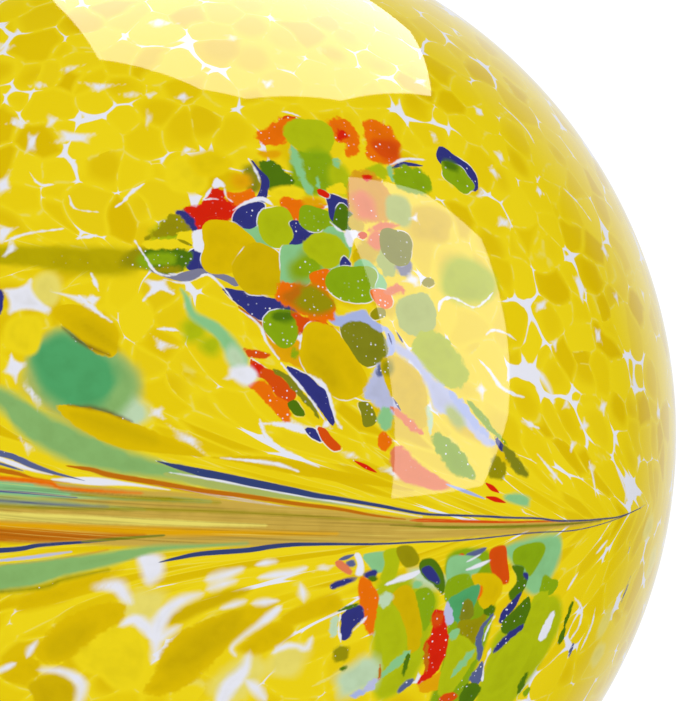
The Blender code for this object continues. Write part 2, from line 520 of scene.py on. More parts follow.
    Chip(Glass.MOSS, 30.5, 27.2, 9.4, 9.2, -40),
    *gaps((31.7, 23.3, 5, 2.6, 0), (34.3, 30.3, 3, 3, 0)),
    Chip(Glass.OLIVE, 33.7, 22.9, 4, 3, 0, Form.SHARD),
    Chip(Glass.SALMON, 29.0, 22.3, 6, 2.6, 10, soft=0.5),
)

# Chips and threads between the cluster and the band
BELOW_CLUSTER: tuple[Mark, ...] = (
    Streak(Glass.MINT, ((3.0, 23.2, 0.4), (3.6, 22.3, 1.4), (4.3, 20.4, 2.2), (6.2, 19.2, 3),
                        (7.5, 18.2, 3.2), (8.7, 16.5, 4), (9.5, 15.0, 4.5)), soft=0.8),
    Chip(Glass.PALE_MINT, 9.0, 15.6, 6, 4, -60, soft=1.2),
    Patch(Glass.AMBER, ((12.6, 18.8), (14.4, 17.9), (16.3, 17.4), (16.3, 15.6), (16.9, 14.1),
                        (15.5, 14.6), (13.8, 15.4), (12.8, 17.0)), soft=0.3),
    Chip(Glass.LEAF, 15.6, 15.9, 1.8, 3.4, 0, soft=0.4),
    Streak(Glass.RUST, ((9.6, 21.2, 0.5), (11.1, 19.9, 1.1), (12.3, 19.1, 0.9),
                        (12.5, 18.2, 0.4))),
    Patch(Glass.NAVY, ((7.6, 23.4), (9.4, 23.1), (11.1, 22.8), (13.3, 22.1), (15.8, 21.5),
                       (16.8, 19.6), (17.0, 17.9), (15.6, 19.2), (14.0, 20.0), (12.3, 19.5),
                       (11.0, 20.2), (9.9, 21.1), (8.5, 22.3))),
    *hairlines(((9.6, 20.9, 0.2), (11.8, 19.2, 0.5), (12.6, 17.2, 0.6), (13.9, 15.3, 0.3))),
    Chip(Glass.LEAF, 14.6, 18.8, 9.0, 9.4, 0),
    Chip(Glass.DARK_LEAF, 14.8, 20.0, 6, 3, 0, soft=0.9),
    Patch(Glass.BLAZE, ((15.4, 21.1), (17.0, 20.0), (19.7, 19.3), (21.6, 17.4), (20.3, 18.1),
                        (18.6, 18.7), (17.0, 18.3), (16.4, 17.8), (16.2, 19.2)), soft=0.3),
    Chip(Glass.CHIP_GOLD, 20.0, 14.8, 20.5, 12.8, -53),
    Chip(Glass.GOLD, 19.0, 13.9, 13, 6, -53, soft=2.1),
    Chip(Glass.MOSS, 24.2, 16.9, 13.5, 9.6, -55),
    Patch(Glass.SKY, ((20.0, 19.2), (20.1, 20.3), (20.7, 20.9), (21.3, 19.9), (22.9, 20.1),
                      (24.8, 20.4), (25.5, 19.3), (26.8, 18.4), (26.4, 17.7), (24.8, 18.7),
                      (23.3, 19.2), (22.0, 18.9), (21.6, 18.5)), soft=0.3),
    Streak(Glass.SKY, ((26.9, 18.2, 1.0), (27.4, 17.0, 2.4), (27.3, 15.6, 1.8),
                       (26.2, 14.6, 0.8)), soft=0.3),
    Streak(Glass.NAVY, ((27.2, 17.6, 0.3), (27.4, 16.8, 0.6), (27.5, 16.2, 0.2))),
    Streak(Glass.NAVY, ((28.2, 17.8, 0.3), (28.6, 17.1, 0.6), (28.9, 16.4, 0.2))),
    Streak(Glass.SILVER, ((17.2, 13.5, 0.6), (18.6, 12.4, 1.6), (19.4, 10.6, 1.4),
                          (19.8, 8.8, 0.8), (20.6, 7.6, 0.6)), soft=0.3),
    Patch(Glass.NAVY, ((14.5, 14.7), (16.1, 14.0), (17.4, 13.3), (18.2, 12.4), (19.0, 11.8),
                       (19.4, 10.3), (19.9, 8.3), (19.4, 8.0), (18.4, 9.4), (17.1, 11.0),
                       (15.9, 12.7), (14.9, 13.8))),
    Patch(Glass.BLAZE, ((9.9, 16.6), (11.5, 16.4), (12.9, 16.0), (12.6, 15.5), (11.6, 15.4),
                        (10.5, 15.6)), soft=0.3),
    Patch(Glass.BLAZE, ((10.6, 15.5), (11.5, 15.0), (12.2, 14.5), (13.4, 14.0), (14.6, 12.9),
                        (15.6, 11.8), (15.4, 10.9), (14.5, 10.6), (13.5, 11.0), (12.2, 13.1),
                        (11.3, 13.4), (10.7, 14.0)), soft=0.2),
    Chip(Glass.RED, 11.4, 14.5, 3, 2.2, -30, soft=0.5),
    Patch(Glass.ORANGE, ((10.2, 12.7), (12.0, 13.1), (13.3, 11.6), (14.8, 10.3), (14.7, 8.4),
                         (14.0, 8.6), (12.4, 10.4), (11.1, 11.8)), soft=0.3),
    Streak(Glass.MOSS, ((13.2, 14.2, 0.6), (14.8, 13.1, 1.8), (16.2, 11.4, 1.5),
                        (17.4, 10.0, 1.6), (18.0, 8.8, 0.5)), soft=0.3),
    Patch(Glass.DARK_LEAF, ((14.6, 10.6), (15.5, 10.9), (16.2, 10.0), (16.5, 9.2), (15.6, 9.1),
                            (14.8, 9.8))),
    *hairlines(((14.1, 14.9, 0.3), (15.4, 13.2, 0.6), (17.0, 11.2, 0.5), (18.1, 9.5, 0.5),
                (19.0, 8.0, 0.2))),
    Streak(Glass.SILVER, ((11.4, 8.5, 0.3), (14.0, 8.3, 1.2), (15.8, 7.7, 2.0),
                          (16.6, 7.2, 0.6)), soft=0.3),
    Patch(Glass.NAVY, ((16.4, 7.9), (17.6, 7.7), (18.4, 6.7), (18.2, 6.2), (17.2, 6.7),
                       (16.5, 7.3))),
    Patch(Glass.BLAZE, ((17.7, 8.0), (18.7, 7.7), (19.6, 6.6), (20.6, 5.5), (19.6, 5.2),
                        (18.6, 6.0), (18.0, 7.0))),
    Patch(Glass.SILVER, ((8.4, 14.5), (10.4, 14.7), (11.4, 13.6), (10.7, 12.8), (9.8, 12.6),
                         (8.4, 13.6)), soft=0.9),
    Streak(Glass.RED, ((21.9, 4.1, 0.4), (23.2, 3.4, 1.2), (24.5, 2.7, 0.4))),
    Patch(Glass.LAVENDER, ((25.2, 14.4), (26.2, 14.2), (26.6, 12.2), (27.8, 10.4), (28.0, 9.2),
                           (26.0, 8.8), (24.5, 10.1), (23.3, 10.9), (24.1, 12.4)), soft=0.5),
    Chip(Glass.SLATE, 25.6, 13.6, 2.0, 3.0, 0, soft=0.6),
    Patch(Glass.CHIP_GOLD, ((25.8, 14.6), (26.8, 15.2), (27.9, 15.1), (29.3, 14.4), (30.5, 13.1),
                            (31.1, 11.9), (31.2, 9.8), (30.6, 7.1), (28.6, 7.9), (27.5, 9.5),
                            (26.7, 10.8), (26.1, 12.2)), soft=0.28),
    Chip(Glass.OLIVE, 26.6, 13.9, 3.4, 4, 0, soft=1.2),
    Patch(Glass.MOSS, ((22.6, 10.3), (23.9, 10.3), (24.8, 8.6), (24.4, 7.8), (23.2, 7.7),
                       (22.9, 9.2))),
    Chip(Glass.MINT, 25.8, 8.4, 4, 5.6, 0, soft=0.6),
    Streak(Glass.SALMON, ((26.6, 9.6, 0.8), (27.8, 8.6, 2.0), (29.2, 7.3, 2.0),
                          (30.3, 6.6, 1.0)), soft=0.4),
    Streak(Glass.NAVY, ((26.9, 10.6, 0.2), (27.3, 9.9, 0.6), (27.8, 9.1, 0.2))),
    Chip(Glass.SAGE, 31.3, 19.4, 11.8, 10.4, 0, soft=0.3),
    Patch(Glass.LIME, ((31.6, 17.6), (34.0, 17.2), (36.0, 14.8), (37.0, 12.4), (36.0, 11.2),
                       (34.0, 11.1), (32.4, 12.2), (30.6, 14.2), (30.0, 16.2)), soft=0.4),
    Chip(Glass.CHIP_GOLD, 36.3, 29.5, 13, 10, 0, soft=1.2),
    Chip(Glass.LIME, 39.5, 22.6, 17, 12, 0, soft=1.8),
    Patch(Glass.LAVENDER, ((27.8, 16.8), (30.2, 15.1), (31.4, 13.5), (32.6, 12.2), (34.2, 11.0),
                           (35.3, 9.7), (36.4, 8.4), (37.4, 7.5), (38.8, 5.9), (39.7, 4.5),
                           (38.3, 4.7), (36.6, 6.3), (35.0, 7.6), (33.4, 8.4), (31.9, 8.9),
                           (31.4, 10.8), (30.8, 12.7), (29.6, 14.1), (28.0, 15.3)), soft=0.7),
    Streak(Glass.SKY, ((34.2, 10.8, 1.0), (35.4, 9.3, 2.6), (36.8, 7.7, 2.4), (38.4, 6.0, 1.6),
                       (39.6, 4.8, 0.8)), soft=0.5),
    Chip(Glass.SAGE, 34.6, 8.0, 7, 3.4, -50, soft=1.2),
    *hairlines(((34.3, 19.6, 0.4), (34.9, 20.7, 1.1), (36.8, 20.9, 0.6), (39.4, 19.7, 0.5),
                (41.2, 20.2, 0.6), (43.0, 21.2, 0.3)),
               ((40.4, 16.6, 0.3), (41.6, 17.0, 0.7), (43.6, 16.4, 0.6), (44.8, 15.6, 0.2)),
               ((38.6, 14.1, 0.4), (39.9, 12.8, 0.8), (41.2, 10.9, 1.2), (43.0, 9.9, 0.8),
                (44.6, 9.4, 0.4)),
               ((44.0, 7.2, 0.3), (45.3, 6.3, 1.0), (46.6, 5.8, 0.4))),
    Streak(Glass.LEAF, ((36.4, 9.7, 0.6), (37.7, 8.2, 2.2), (39.6, 6.2, 1.4),
                        (41.6, 4.4, 0.5)), soft=0.3),
    Patch(Glass.NAVY, ((39.8, 5.7), (40.7, 4.9), (41.3, 4.0), (40.6, 3.8), (39.9, 4.8))),
    Streak(Glass.PALE_MINT, ((31.2, 9.3, 1.2), (31.4, 7.8, 1.4), (31.2, 6.5, 0.6)), soft=0.5),
    Chip(Glass.LEAF, 34, 3.8, 16, 5.5, -48, soft=0.4),
    Patch(Glass.SALMON, ((26.2, 5.2), (27.6, 5.3), (28.6, 4.5), (30.0, 3.1), (31.6, 2.1),
                         (33.3, 1.1), (33.4, 0.4), (31.5, 0.3), (29.5, 0.9), (27.5, 1.6),
                         (26.3, 3.2)), soft=0.5),
    Chip(Glass.ORANGE, 25.5, 6, 4, 5, 0, Form.SHARD, soft=0.3),
    Chip(Glass.OLIVE, 40, 2, 5, 6, -35, soft=0.5),
    Patch(Glass.MOSS, ((40.6, 4.4), (41.8, 4.2), (43.2, 2.8), (44.8, 0.9), (43.4, 0.9),
                       (41.8, 2.2)), soft=0.5),
    Streak(Glass.RED, ((38.3, 0.6, 0.4), (39.2, 0, 1.5), (40.2, -0.6, 0.4))),
    Streak(Glass.RED, ((38.3, -0.9, 0.4), (39.7, -1.3, 1.4), (41.2, -1.8, 0.4))),
    Chip(Glass.MINT, 43.0, -1.6, 9, 2.8, -15, soft=0.7),
    Streak(Glass.SKY, ((33.0, 0.9, 0.4), (35.6, -0.1, 1.0), (38.2, -1.1, 0.4))),
)

# Silvery gaps and pale lines of the field in front
FRONT_GAPS: tuple[Mark, ...] = (
    *gaps(
        (-15.5, 22, 12, 8, -20), (-9, 22, 10, 2.6, -20), (-7.3, 22, 3.5, 3, 0),
        (-17.8, 27.5, 4.5, 4.5, 0), (-15.8, 14.3, 5, 6, 0), (-13.5, 11.5, 7, 2.0, -60),
        (-14, 6, 4, 2, -55), (0.4, 23.6, 6, 4, 0), (3.9, 21.5, 2, 5, 0), (0.9, 17.2, 7, 2.6, -30),
        (3.5, 6.9, 8, 2, -35), (0.2, 9.8, 4, 2.6, -20), (9.5, 14, 8, 3.4, 0),
        (15.7, 8.2, 5, 2, -25), (18.9, 8.2, 2.6, 2.6, 0), (26.5, 2.5, 6, 1.8, -25),
        (21.5, 4.7, 4, 1.4, -20), (-9.3, 48.5, 10, 3.4, 0), (-4, 47.3, 5, 1.6, 0),
        (4.2, 46.9, 3.4, 2.6, 0), (-1.2, 47.2, 3.2, 2.6, 0), (-15.7, 43.6, 4.5, 3.6, 0),
        (-21, 43, 6, 2.6, 0), (-11.8, 41.3, 10, 3.6, 0), (-18, 40.5, 2.8, 6, 0),
        (-30, 54, 6, 2.6, 0), (0.3, 58.8, 7, 3, 0), (15, 56, 4, 2, 0), (18.5, 48.6, 2.8, 2.8, 0),
        (4.3, 39.8, 3.4, 3, 0), (-1.2, 43.9, 1.4, 4, 0), (-15, 51, 5, 2, 35),
        (-19.5, 48.3, 4, 2, 0), (-20.5, 35, 3.2, 6, 0), (-19, 29.5, 6, 5, 0),
        (47.5, 47.5, 4, 2.6, 0), (56, 42.5, 3.2, 3.6, 0), (54, 36.5, 2.8, 3.8, 0),
        (51, 34.8, 2.2, 3.8, 0), (58.5, 31.7, 3, 3, 0), (48.5, 28.8, 5, 2.6, 0),
        (68.5, 23.5, 3, 4, 0), (59, 20.5, 4, 7, 0), (50.2, 19, 5, 2.6, 0), (67, 18.3, 3, 4, 0),
        (77, 17.5, 3, 4, 0), (60, 14.7, 3, 4, 0), (51, 14.7, 3, 3, 0),
        (45, 6.3, 4.5, 1.6, -40), (38.5, 10.7, 2.6, 3.6, 0), (51.5, 8, 3, 4, -40),
        (58.5, 7, 3, 4, -40), (54.5, 5.3, 3, 3, -40), (52, 3.5, 3, 3, -40),
        (48.7, 0.3, 3, 2, -40), (55.5, 0.6, 3, 2, -40), (63.5, -3, 2.2, 6, 0),
        (66.5, 0, 2.4, 4, 0), (74, 4.5, 3, 5, 0),
    ),
    Patch(Glass.SILVER, ((-1.9, -5.4), (0.5, -5.6), (0.9, -7.2), (0.3, -8.3), (-0.9, -8.8),
                         (-1.4, -7.4)), soft=1.5),
    Patch(Glass.SILVER, ((-6.6, -9.3), (-5.2, -8.5), (-3.6, -8.5), (-2.8, -9.9), (-2.5, -11.0),
                         (-3.6, -10.7), (-4.6, -9.7)), soft=1.6),
    *hairlines(((5.0, -9.9, 0.6), (3.4, -10.4, 2.0), (2.0, -11.2, 2.8), (1.0, -12.2, 3.2),
                (0.3, -13.5, 3.6), (0.1, -15.0, 3.0), (0.0, -16.6, 1.4), (-0.4, -17.8, 0.6)),
               ((-3.8, -13.5, 0.8), (-2.4, -12.8, 2.6), (-1.2, -13.5, 3.2), (-0.4, -14.8, 2.0)),
               ((2.6, -13.6, 0.5), (1.6, -14.2, 1.6), (0.6, -15.0, 1.4)),
               ((-13.2, -19.0, 0.6), (-11.2, -19.0, 1.5), (-9.9, -19.4, 2.2), (-8.7, -20.3, 3.0),
                (-8.7, -21.6, 2.0), (-9.2, -23.0, 1.2)),
               ((10.5, -17.2, 1.2), (10.2, -18.6, 2.4), (9.5, -19.7, 3.6), (8.5, -20.8, 4.2),
                (7.8, -22.4, 3.4), (7.6, -23.6, 2.4)),
               ((10.6, -20.3, 1.4), (11.6, -21.2, 2.6), (12.7, -22.5, 1.4)),
               ((5.8, -8.3, 1.6), (7.4, -7.9, 2.2), (9.4, -7.2, 0.9)),
               ((5.8, -9.4, 0.8), (7.2, -8.9, 1.6), (8.8, -8.5, 0.5)),
               ((16.0, -9.2, 0.6), (16.3, -10.2, 1.8), (16.4, -10.9, 0.6)), soft=1.3),
    *hairlines(((-13.3, -15.5, 0.4), (-14.2, -16.6, 1.5), (-14.7, -17.5, 0.5)),
               ((-18.4, -19.4, 0.8), (-17.2, -18.8, 1.5), (-16.2, -18.3, 0.8)),
               ((11.0, -6.8, 0.6), (12.0, -6.6, 1.4), (13.1, -6.5, 0.5)),
               ((11.3, -8.2, 0.6), (13.0, -8.0, 1.8), (15.0, -7.8, 1.6), (16.5, -7.3, 0.8)),
               ((10.8, -11.1, 0.8), (12.0, -11.0, 1.7), (13.5, -10.9, 0.6)),
               ((13.7, -11.7, 1.4), (12.6, -12.7, 2.2), (11.2, -13.8, 1.2), (9.6, -15.0, 0.7),
                (8.5, -16.2, 0.7), (9.0, -17.1, 0.5)),
               ((7.2, -11.6, 0.5), (8.6, -11.2, 1.4), (9.9, -10.8, 0.5)),
               ((13.2, -17.0, 0.6), (14.6, -16.2, 1.6), (16.0, -16.2, 1.1), (17.1, -16.6, 1.5),
                (17.6, -15.4, 0.8)), soft=0.9),
    Streak(Glass.CHIP_GOLD, ((6.0, 4.95, 0.3), (10, 4.6, 2.2), (14, 3.9, 3.4), (18, 3.0, 3.0),
                             (24, 1.7, 1.8), (29, 0.5, 0.5)), soft=0.3),
    *hairlines(((45.4, 13.2, 0.3), (46.6, 12.3, 0.9), (47.8, 11.4, 1.5), (48.8, 10.0, 1.1),
                (49.4, 8.4, 0.4)), soft=0.85),
    *hairlines(((-8.9, 22.4, 0.6), (-7, 20.9, 1.2), (-5, 19.6, 0.5)),
               ((-1.4, 21.9, 0.4), (0.3, 23.4, 1.6), (2.2, 22.7, 0.4)),
               ((0.3, 18.8, 0.4), (1.4, 18.8, 0.9), (2.6, 18.6, 0.3)), soft=0.3),
    Streak(Glass.SLATE, ((8.8, 14.3, 0.4), (9.3, 13.9, 0.9), (10.2, 13.4, 0.3))),
    Streak(Glass.SILVER, ((11.4, 8.9, 0.4), (12.2, 6.8, 1.1), (14.4, 5.3, 1.0), (17.9, 3.6, 0.4)),
           soft=0.3),
    Streak(Glass.SILVER, ((7.0, 4.9, 0.3), (12.7, 4.2, 0.9), (15.6, 3.2, 0.3)), soft=0.3),
    Streak(Glass.SILVER, ((-9.7, 28.9, 0.4), (-8.5, 29.1, 0.9), (-7.2, 29.3, 0.4)), soft=0.3),
    Streak(Glass.SILVER, ((-7.7, 25.0, 0.4), (-7.1, 24.0, 0.9), (-6.6, 23.0, 0.4)), soft=0.3),
    *hairlines(((-11.3, 33.9, 0.2), (-10.3, 32.4, 0.5), (-7.2, 32, 0.3)),
               ((-5.2, 32.6, 0.2), (-4.2, 33.3, 0.9), (-3, 34.6, 1.0), (-1.4, 35.6, 0.3)),
               ((-17.5, 36.9, 0.2), (-15.5, 35.2, 0.6), (-13.4, 35.3, 0.3)),
               ((-19, 28.2, 0.5), (-16, 29.3, 0.6), (-11.5, 30, 0.2)),
               ((63, 43.2, 0.2), (65, 39.5, 0.6), (64.5, 37.0, 0.2)),
               ((65, 31.6, 0.2), (67, 29.5, 0.6), (68.4, 27, 0.2))),
    Streak(Glass.SILVER, ((46, 3.1, 0.3), (48, 1.2, 0.7), (50.1, -0.6, 0.3)), soft=0.3),
    Streak(Glass.SILVER, ((55, 1.3, 0.3), (55.8, -0.6, 0.7), (56.5, -2.7, 0.3)), soft=0.3),
    Streak(Glass.SILVER, ((59.6, 1.6, 0.3), (62, -1.4, 0.8), (64.6, -4.7, 0.3)), soft=0.3),
)

# Chips of the coloured cluster below the band
LOWER_CLUSTER: tuple[Mark, ...] = (
    Patch(Glass.LIME, ((24.8, -9.5), (29, -9), (32.5, -11), (32.8, -14), (31.5, -21),
                       (27, -23.5), (25.2, -18)), soft=1.2),
    Patch(Glass.LEAF, ((33.4, -7.0), (38.8, -6.8), (40.5, -10), (41, -14), (40.5, -19),
                       (38.5, -25), (34.5, -25), (34.8, -20), (34.4, -14)), soft=0.8),
    Patch(Glass.MINT, ((41.5, -6.6), (49.5, -6.0), (50.5, -9), (48, -12.5), (45.5, -12),
                       (43, -9)), soft=1.3),
    Patch(Glass.LIME, ((42.6, -16), (50, -13), (53, -16), (51, -22), (47, -27), (42, -26),
                       (41.5, -20)), soft=1.2),
    Chip(Glass.PALE_MINT, 24, -20.4, 12, 9, 30, soft=2.0),
    Chip(Glass.PALE_MINT, 31.4, -9.4, 12, 4, -20, soft=1.6),
    Streak(Glass.SLATE, ((20.2, -6.6, 0.5), (21.0, -6.4, 1.2), (22.0, -6.1, 0.5)), soft=0.3),
    Chip(Glass.SLATE, 21.6, -7.1, 3.2, 1.8, 0, soft=0.3),
    Patch(Glass.SILVER, ((21.9, -6.0), (22.6, -6.0), (23.1, -7.0), (23.2, -8.4), (22.2, -8.4),
                         (22.4, -7.2)), soft=0.3),
    Patch(Glass.SALMON, ((19.8, -6.7), (20.6, -6.7), (21.8, -7.8), (21.7, -8.4), (20.8, -8.0),
                         (19.9, -7.3)), soft=0.3),
    *gaps((18.6, -7.4, 4.6, 1.5, 8)),
    Patch(Glass.NAVY, ((19.3, -9.3), (20.9, -8.7), (22.3, -8.6), (22.5, -8.9), (21.3, -9.4),
                       (19.6, -9.9))),
    Patch(Glass.MINT, ((22.9, -6.2), (25.0, -5.9), (26.2, -6.2), (25.9, -8.0), (24.6, -8.3),
                       (23.6, -7.3)), soft=0.3),
    Patch(Glass.LIME, ((25.4, -5.9), (27.4, -5.7), (27.5, -7.0), (27.0, -9.0), (25.2, -9.1),
                       (25.6, -7.4)), soft=0.3),
    Patch(Glass.OLIVE, ((27.0, -5.6), (28.9, -5.6), (30.0, -7.4), (28.4, -8.0), (27.3, -6.9)),
          soft=0.3),
    Patch(Glass.NAVY, ((23.1, -8.3), (24.3, -7.9), (24.9, -8.2), (24.4, -9.0), (23.3, -8.8))),
    Chip(Glass.DARK_LEAF, 24.3, -8.9, 3.0, 1.5, 0, soft=0.3),
    Streak(Glass.SILVER, ((25.9, -9.7, 0.5), (27.5, -9.2, 1.5), (29.2, -8.8, 1.6),
                          (30.2, -8.4, 0.8)), soft=0.25),
    Patch(Glass.DARK_LEAF, ((30.0, -7.3), (31.5, -7.1), (32.8, -8.3), (33.6, -10.2),
                            (33.4, -11.4), (32.0, -10.2), (30.2, -8.8))),
    Patch(Glass.NAVY, ((30.2, -8.3), (31.2, -7.9), (32.3, -8.9), (32.9, -10.0), (32.0, -9.9),
                       (30.8, -9.1))),
    Patch(Glass.GOLD, ((27.0, -10.5), (28.6, -9.9), (29.8, -11.0), (30.6, -13.0), (31.2, -15.0),
                       (31.2, -17.4), (29.9, -17.8), (29.2, -15.6), (28.0, -13.4),
                       (26.9, -11.8))),
    Patch(Glass.LEAF, ((29.8, -10.6), (31.4, -10.4), (32.4, -12.0), (32.2, -14.4),
                       (31.5, -15.5), (30.7, -13.6), (30.1, -12.0))),
    Chip(Glass.MINT, 29.9, -10.0, 3, 2, 0, soft=0.4),
    Patch(Glass.LIME, ((25.2, -12.0), (26.6, -11.7), (27.9, -12.8), (28.9, -14.8),
                       (29.5, -16.9), (28.6, -18.4), (26.8, -19.2), (26.3, -17.0),
                       (25.4, -15.0))),
    Chip(Glass.PALE_MINT, 26.1, -11.4, 4, 3.4, 0, soft=0.5),
    Patch(Glass.ORANGE, ((22.8, -8.6), (23.6, -8.8), (24.4, -9.6), (25.2, -11.0), (25.1, -13.0),
                         (24.9, -15.7), (24.0, -14.6), (23.2, -13.4), (22.9, -11.6),
                         (22.6, -9.8))),
    Patch(Glass.NAVY, ((21.0, -12.6), (23.1, -11.8), (23.6, -13.4), (22.6, -14.5),
                       (22.0, -15.7), (21.2, -15.8), (20.9, -14.4)), soft=0.3),
    Streak(Glass.DARK_LEAF, ((20.4, -12.4, 0.5), (21.8, -12.0, 1.0), (22.9, -11.6, 0.5))),
    *hairlines(((20.8, -12.6, 0.4), (20.7, -14.4, 0.7), (21.2, -16.1, 0.3)),
               ((22.4, -14.8, 0.3), (23.6, -13.7, 0.7), (24.0, -13.2, 0.2))),
    Chip(Glass.PALE_MINT, 20.2, -14, 2.2, 6, 0, soft=0.5),
    Chip(Glass.OLIVE, 21.3, -17.4, 4.4, 4.6, 0, soft=0.7),
    Chip(Glass.DARK_LEAF, 21.9, -19.2, 2.6, 2.0, 0, Form.SHARD),
    Streak(Glass.PALE_YELLOW, ((18.3, -21.2, 0.5), (20.0, -20.4, 0.8), (21.6, -19.5, 0.4)),
           soft=0.3),
    Streak(Glass.MINT, ((29.9, -17.8, 1.2), (28.5, -19.0, 2.4), (27.0, -20.3, 1.8)), soft=0.4),
    Streak(Glass.DARK_LEAF, ((29.9, -18.3, 1.6), (29.8, -20.6, 1.0)), soft=0.3),
    Streak(Glass.RUST, ((26.4, -18.9, 0.5), (26.6, -19.8, 0.8), (26.6, -20.9, 0.5)), soft=0.2),
    Chip(Glass.BLAZE, 35.3, -7.2, 2.6, 1.6, 0, Form.SHARD),
    Streak(Glass.SLATE, ((36.1, -7.1, 0.8), (37.4, -7.0, 1.6), (38.6, -6.6, 1.0)), soft=0.3),
    Patch(Glass.MINT, ((33.7, -7.3), (36.4, -7.2), (38.4, -8.2), (37.0, -9.8), (33.9, -10.1)),
          soft=0.4),
    Patch(Glass.BLAZE, ((39.3, -6.8), (41.4, -6.5), (42.0, -8.3), (42.6, -10.2), (42.4, -11.0),
                        (41.0, -10.8), (40.0, -9.7), (39.4, -8.4))),
    Patch(Glass.CHIP_GOLD, ((37.0, -9.4), (40.2, -9.6), (41.8, -11.3), (40.6, -13.5),
                            (38.8, -13.2), (37.8, -11.0))),
    Chip(Glass.ORANGE, 38.4, -11.6, 2, 4, 0, soft=0.4),
    Patch(Glass.LEAF, ((33.8, -9.7), (36.6, -9.2), (36.9, -11.0), (35.4, -12.2),
                       (33.7, -12.1))),
    Patch(Glass.TEAL, ((34.2, -12.0), (36.6, -10.9), (38.4, -10.7), (38.0, -13.0),
                       (36.4, -15.4), (35.6, -14.6), (34.4, -13.4)), soft=0.3),
    Patch(Glass.MOSS, ((36.4, -12.3), (37.5, -12.4), (38.0, -14.2), (36.8, -15.2),
                       (36.1, -14.4))),
    Patch(Glass.OLIVE, ((35.8, -14.7), (38.5, -14.5), (40.0, -14.1), (39.5, -16.6),
                        (38.4, -17.8), (36.8, -16.5))),
    *hairlines(((36.1, -7.9, 0.3), (37.0, -7.6, 0.6), (38.0, -7.2, 0.3)),
               ((36.2, -8.8, 0.5), (38.0, -8.4, 1.2), (39.4, -8.0, 0.4))),
    Patch(Glass.AMBER, ((34.2, -20.8), (35.8, -20.4), (35.8, -22.6), (33.0, -23.0),
                        (32.2, -21.8)), soft=0.3),
    Patch(Glass.LIME, ((34.9, -16.1), (36.8, -16.3), (39.0, -17.7), (39.8, -18.6),
                       (38.8, -21.0), (37.1, -23.6), (35.5, -23.7), (34.9, -21.0),
                       (35.1, -18.6))),
    Streak(Glass.MINT, ((39.2, -18.2, 1.0), (38.2, -19.4, 2.4), (37.0, -21.0, 1.8)), soft=0.5),
    Chip(Glass.MINT, 35.7, -16.1, 3, 2.6, 0, soft=0.4),
    Patch(Glass.RED, ((32.4, -13.1), (33.8, -13.3), (34.7, -15.4), (35.1, -17.0),
                      (35.0, -19.2), (34.2, -20.8), (32.6, -21.6), (31.8, -21.8),
                      (32.5, -20.2), (32.1, -18.2), (31.8, -17.2), (32.5, -15.6),
                      (32.4, -14.4))),
    Chip(Glass.BLAZE, 33.1, -14.2, 3, 4, 0, soft=0.6),
    Streak(Glass.RUST, ((32.2, -17.0, 0.6), (32.4, -18.8, 1.2), (32.9, -20.6, 0.5)), soft=0.5),
    Patch(Glass.LAVENDER, ((33.9, -12.3), (34.5, -12.5), (35.3, -14.5), (34.6, -15.1),
                           (34.0, -14.0)), soft=0.3),
    Chip(Glass.BLAZE, 37.0, -24.0, 5.6, 2.8, 0, soft=0.3),
    Chip(Glass.DARK_LEAF, 40.4, -13.8, 4, 2.8, 0, Form.SHARD),
    Streak(Glass.SLATE, ((40.9, -14.3, 0.6), (39.8, -15.6, 1.2), (39.5, -17.2, 2.2),
                         (40.1, -18.6, 1.8), (40.3, -19.8, 0.8)), soft=0.2),
    Patch(Glass.SLATE, ((40.8, -19.7), (41.5, -21.2), (41.3, -22.7), (40.4, -22.7),
                        (39.3, -21.8), (40.1, -20.8))),
    Patch(Glass.DARK_LEAF, ((39.3, -22.4), (41.4, -22.8), (41.9, -24.0), (40.6, -25.6),
                            (39.0, -25.7), (38.8, -24.0))),
    *hairlines(((41.3, -14.4, 0.3), (40.5, -16.0, 0.5), (40.3, -17.4, 0.2)),
               ((41.6, -18.6, 0.9), (41.3, -20.4, 0.5), (41.7, -22.4, 0.4))),
    Patch(Glass.LEAF, ((43.0, -7.0), (46.6, -6.6), (47.9, -7.6), (46.6, -9.7), (45.6, -10.5),
                       (44.6, -9.3), (42.9, -8.7))),
    Patch(Glass.NAVY, ((43.9, -9.9), (45.4, -10.0), (45.5, -11.0), (44.5, -11.1))),
    Patch(Glass.DARK_LEAF, ((42.7, -8.9), (44.6, -9.2), (44.7, -10.2), (45.5, -11.0),
                            (44.8, -12.5), (43.7, -13.4), (42.8, -12.0), (43.7, -11.0),
                            (43.6, -10.2))),
    Patch(Glass.NAVY, ((44.8, -12.1), (44.5, -13.3), (43.7, -14.5), (42.8, -15.6),
                       (42.0, -15.3), (42.1, -14.2), (43.2, -13.1))),
    Chip(Glass.LEAF, 49.2, -11.9, 7, 5, -20),
    Chip(Glass.LIME, 48.2, -14, 7, 7, 0, soft=0.5),
    Patch(Glass.DARK_LEAF, ((46.0, -12.7), (46.8, -14.0), (46.6, -15.4), (46.0, -16.2),
                            (43.9, -17.0), (42.8, -16.5), (42.5, -15.5), (43.4, -14.5),
                            (44.6, -13.7))),
    Patch(Glass.LIME, ((45.8, -17.1), (48.0, -17.5), (48.8, -19.0), (48.0, -21.6),
                       (46.4, -23.8), (44.0, -24.8), (42.1, -23.7), (42.5, -21.0),
                       (43.3, -19.1))),
    Patch(Glass.NAVY, ((46.0, -15.9), (46.3, -16.4), (44.7, -17.5), (43.2, -18.6),
                       (42.2, -19.1), (42.4, -18.0), (43.8, -16.9), (45.0, -16.3))),
    Patch(Glass.SILVER, ((49.3, -17.9), (50.6, -15.1), (51.5, -15.5), (50.7, -18.3)), soft=0.3),
    Chip(Glass.DARK_LEAF, 54.2, -15.9, 9, 1.8, 80, Form.SHARD),
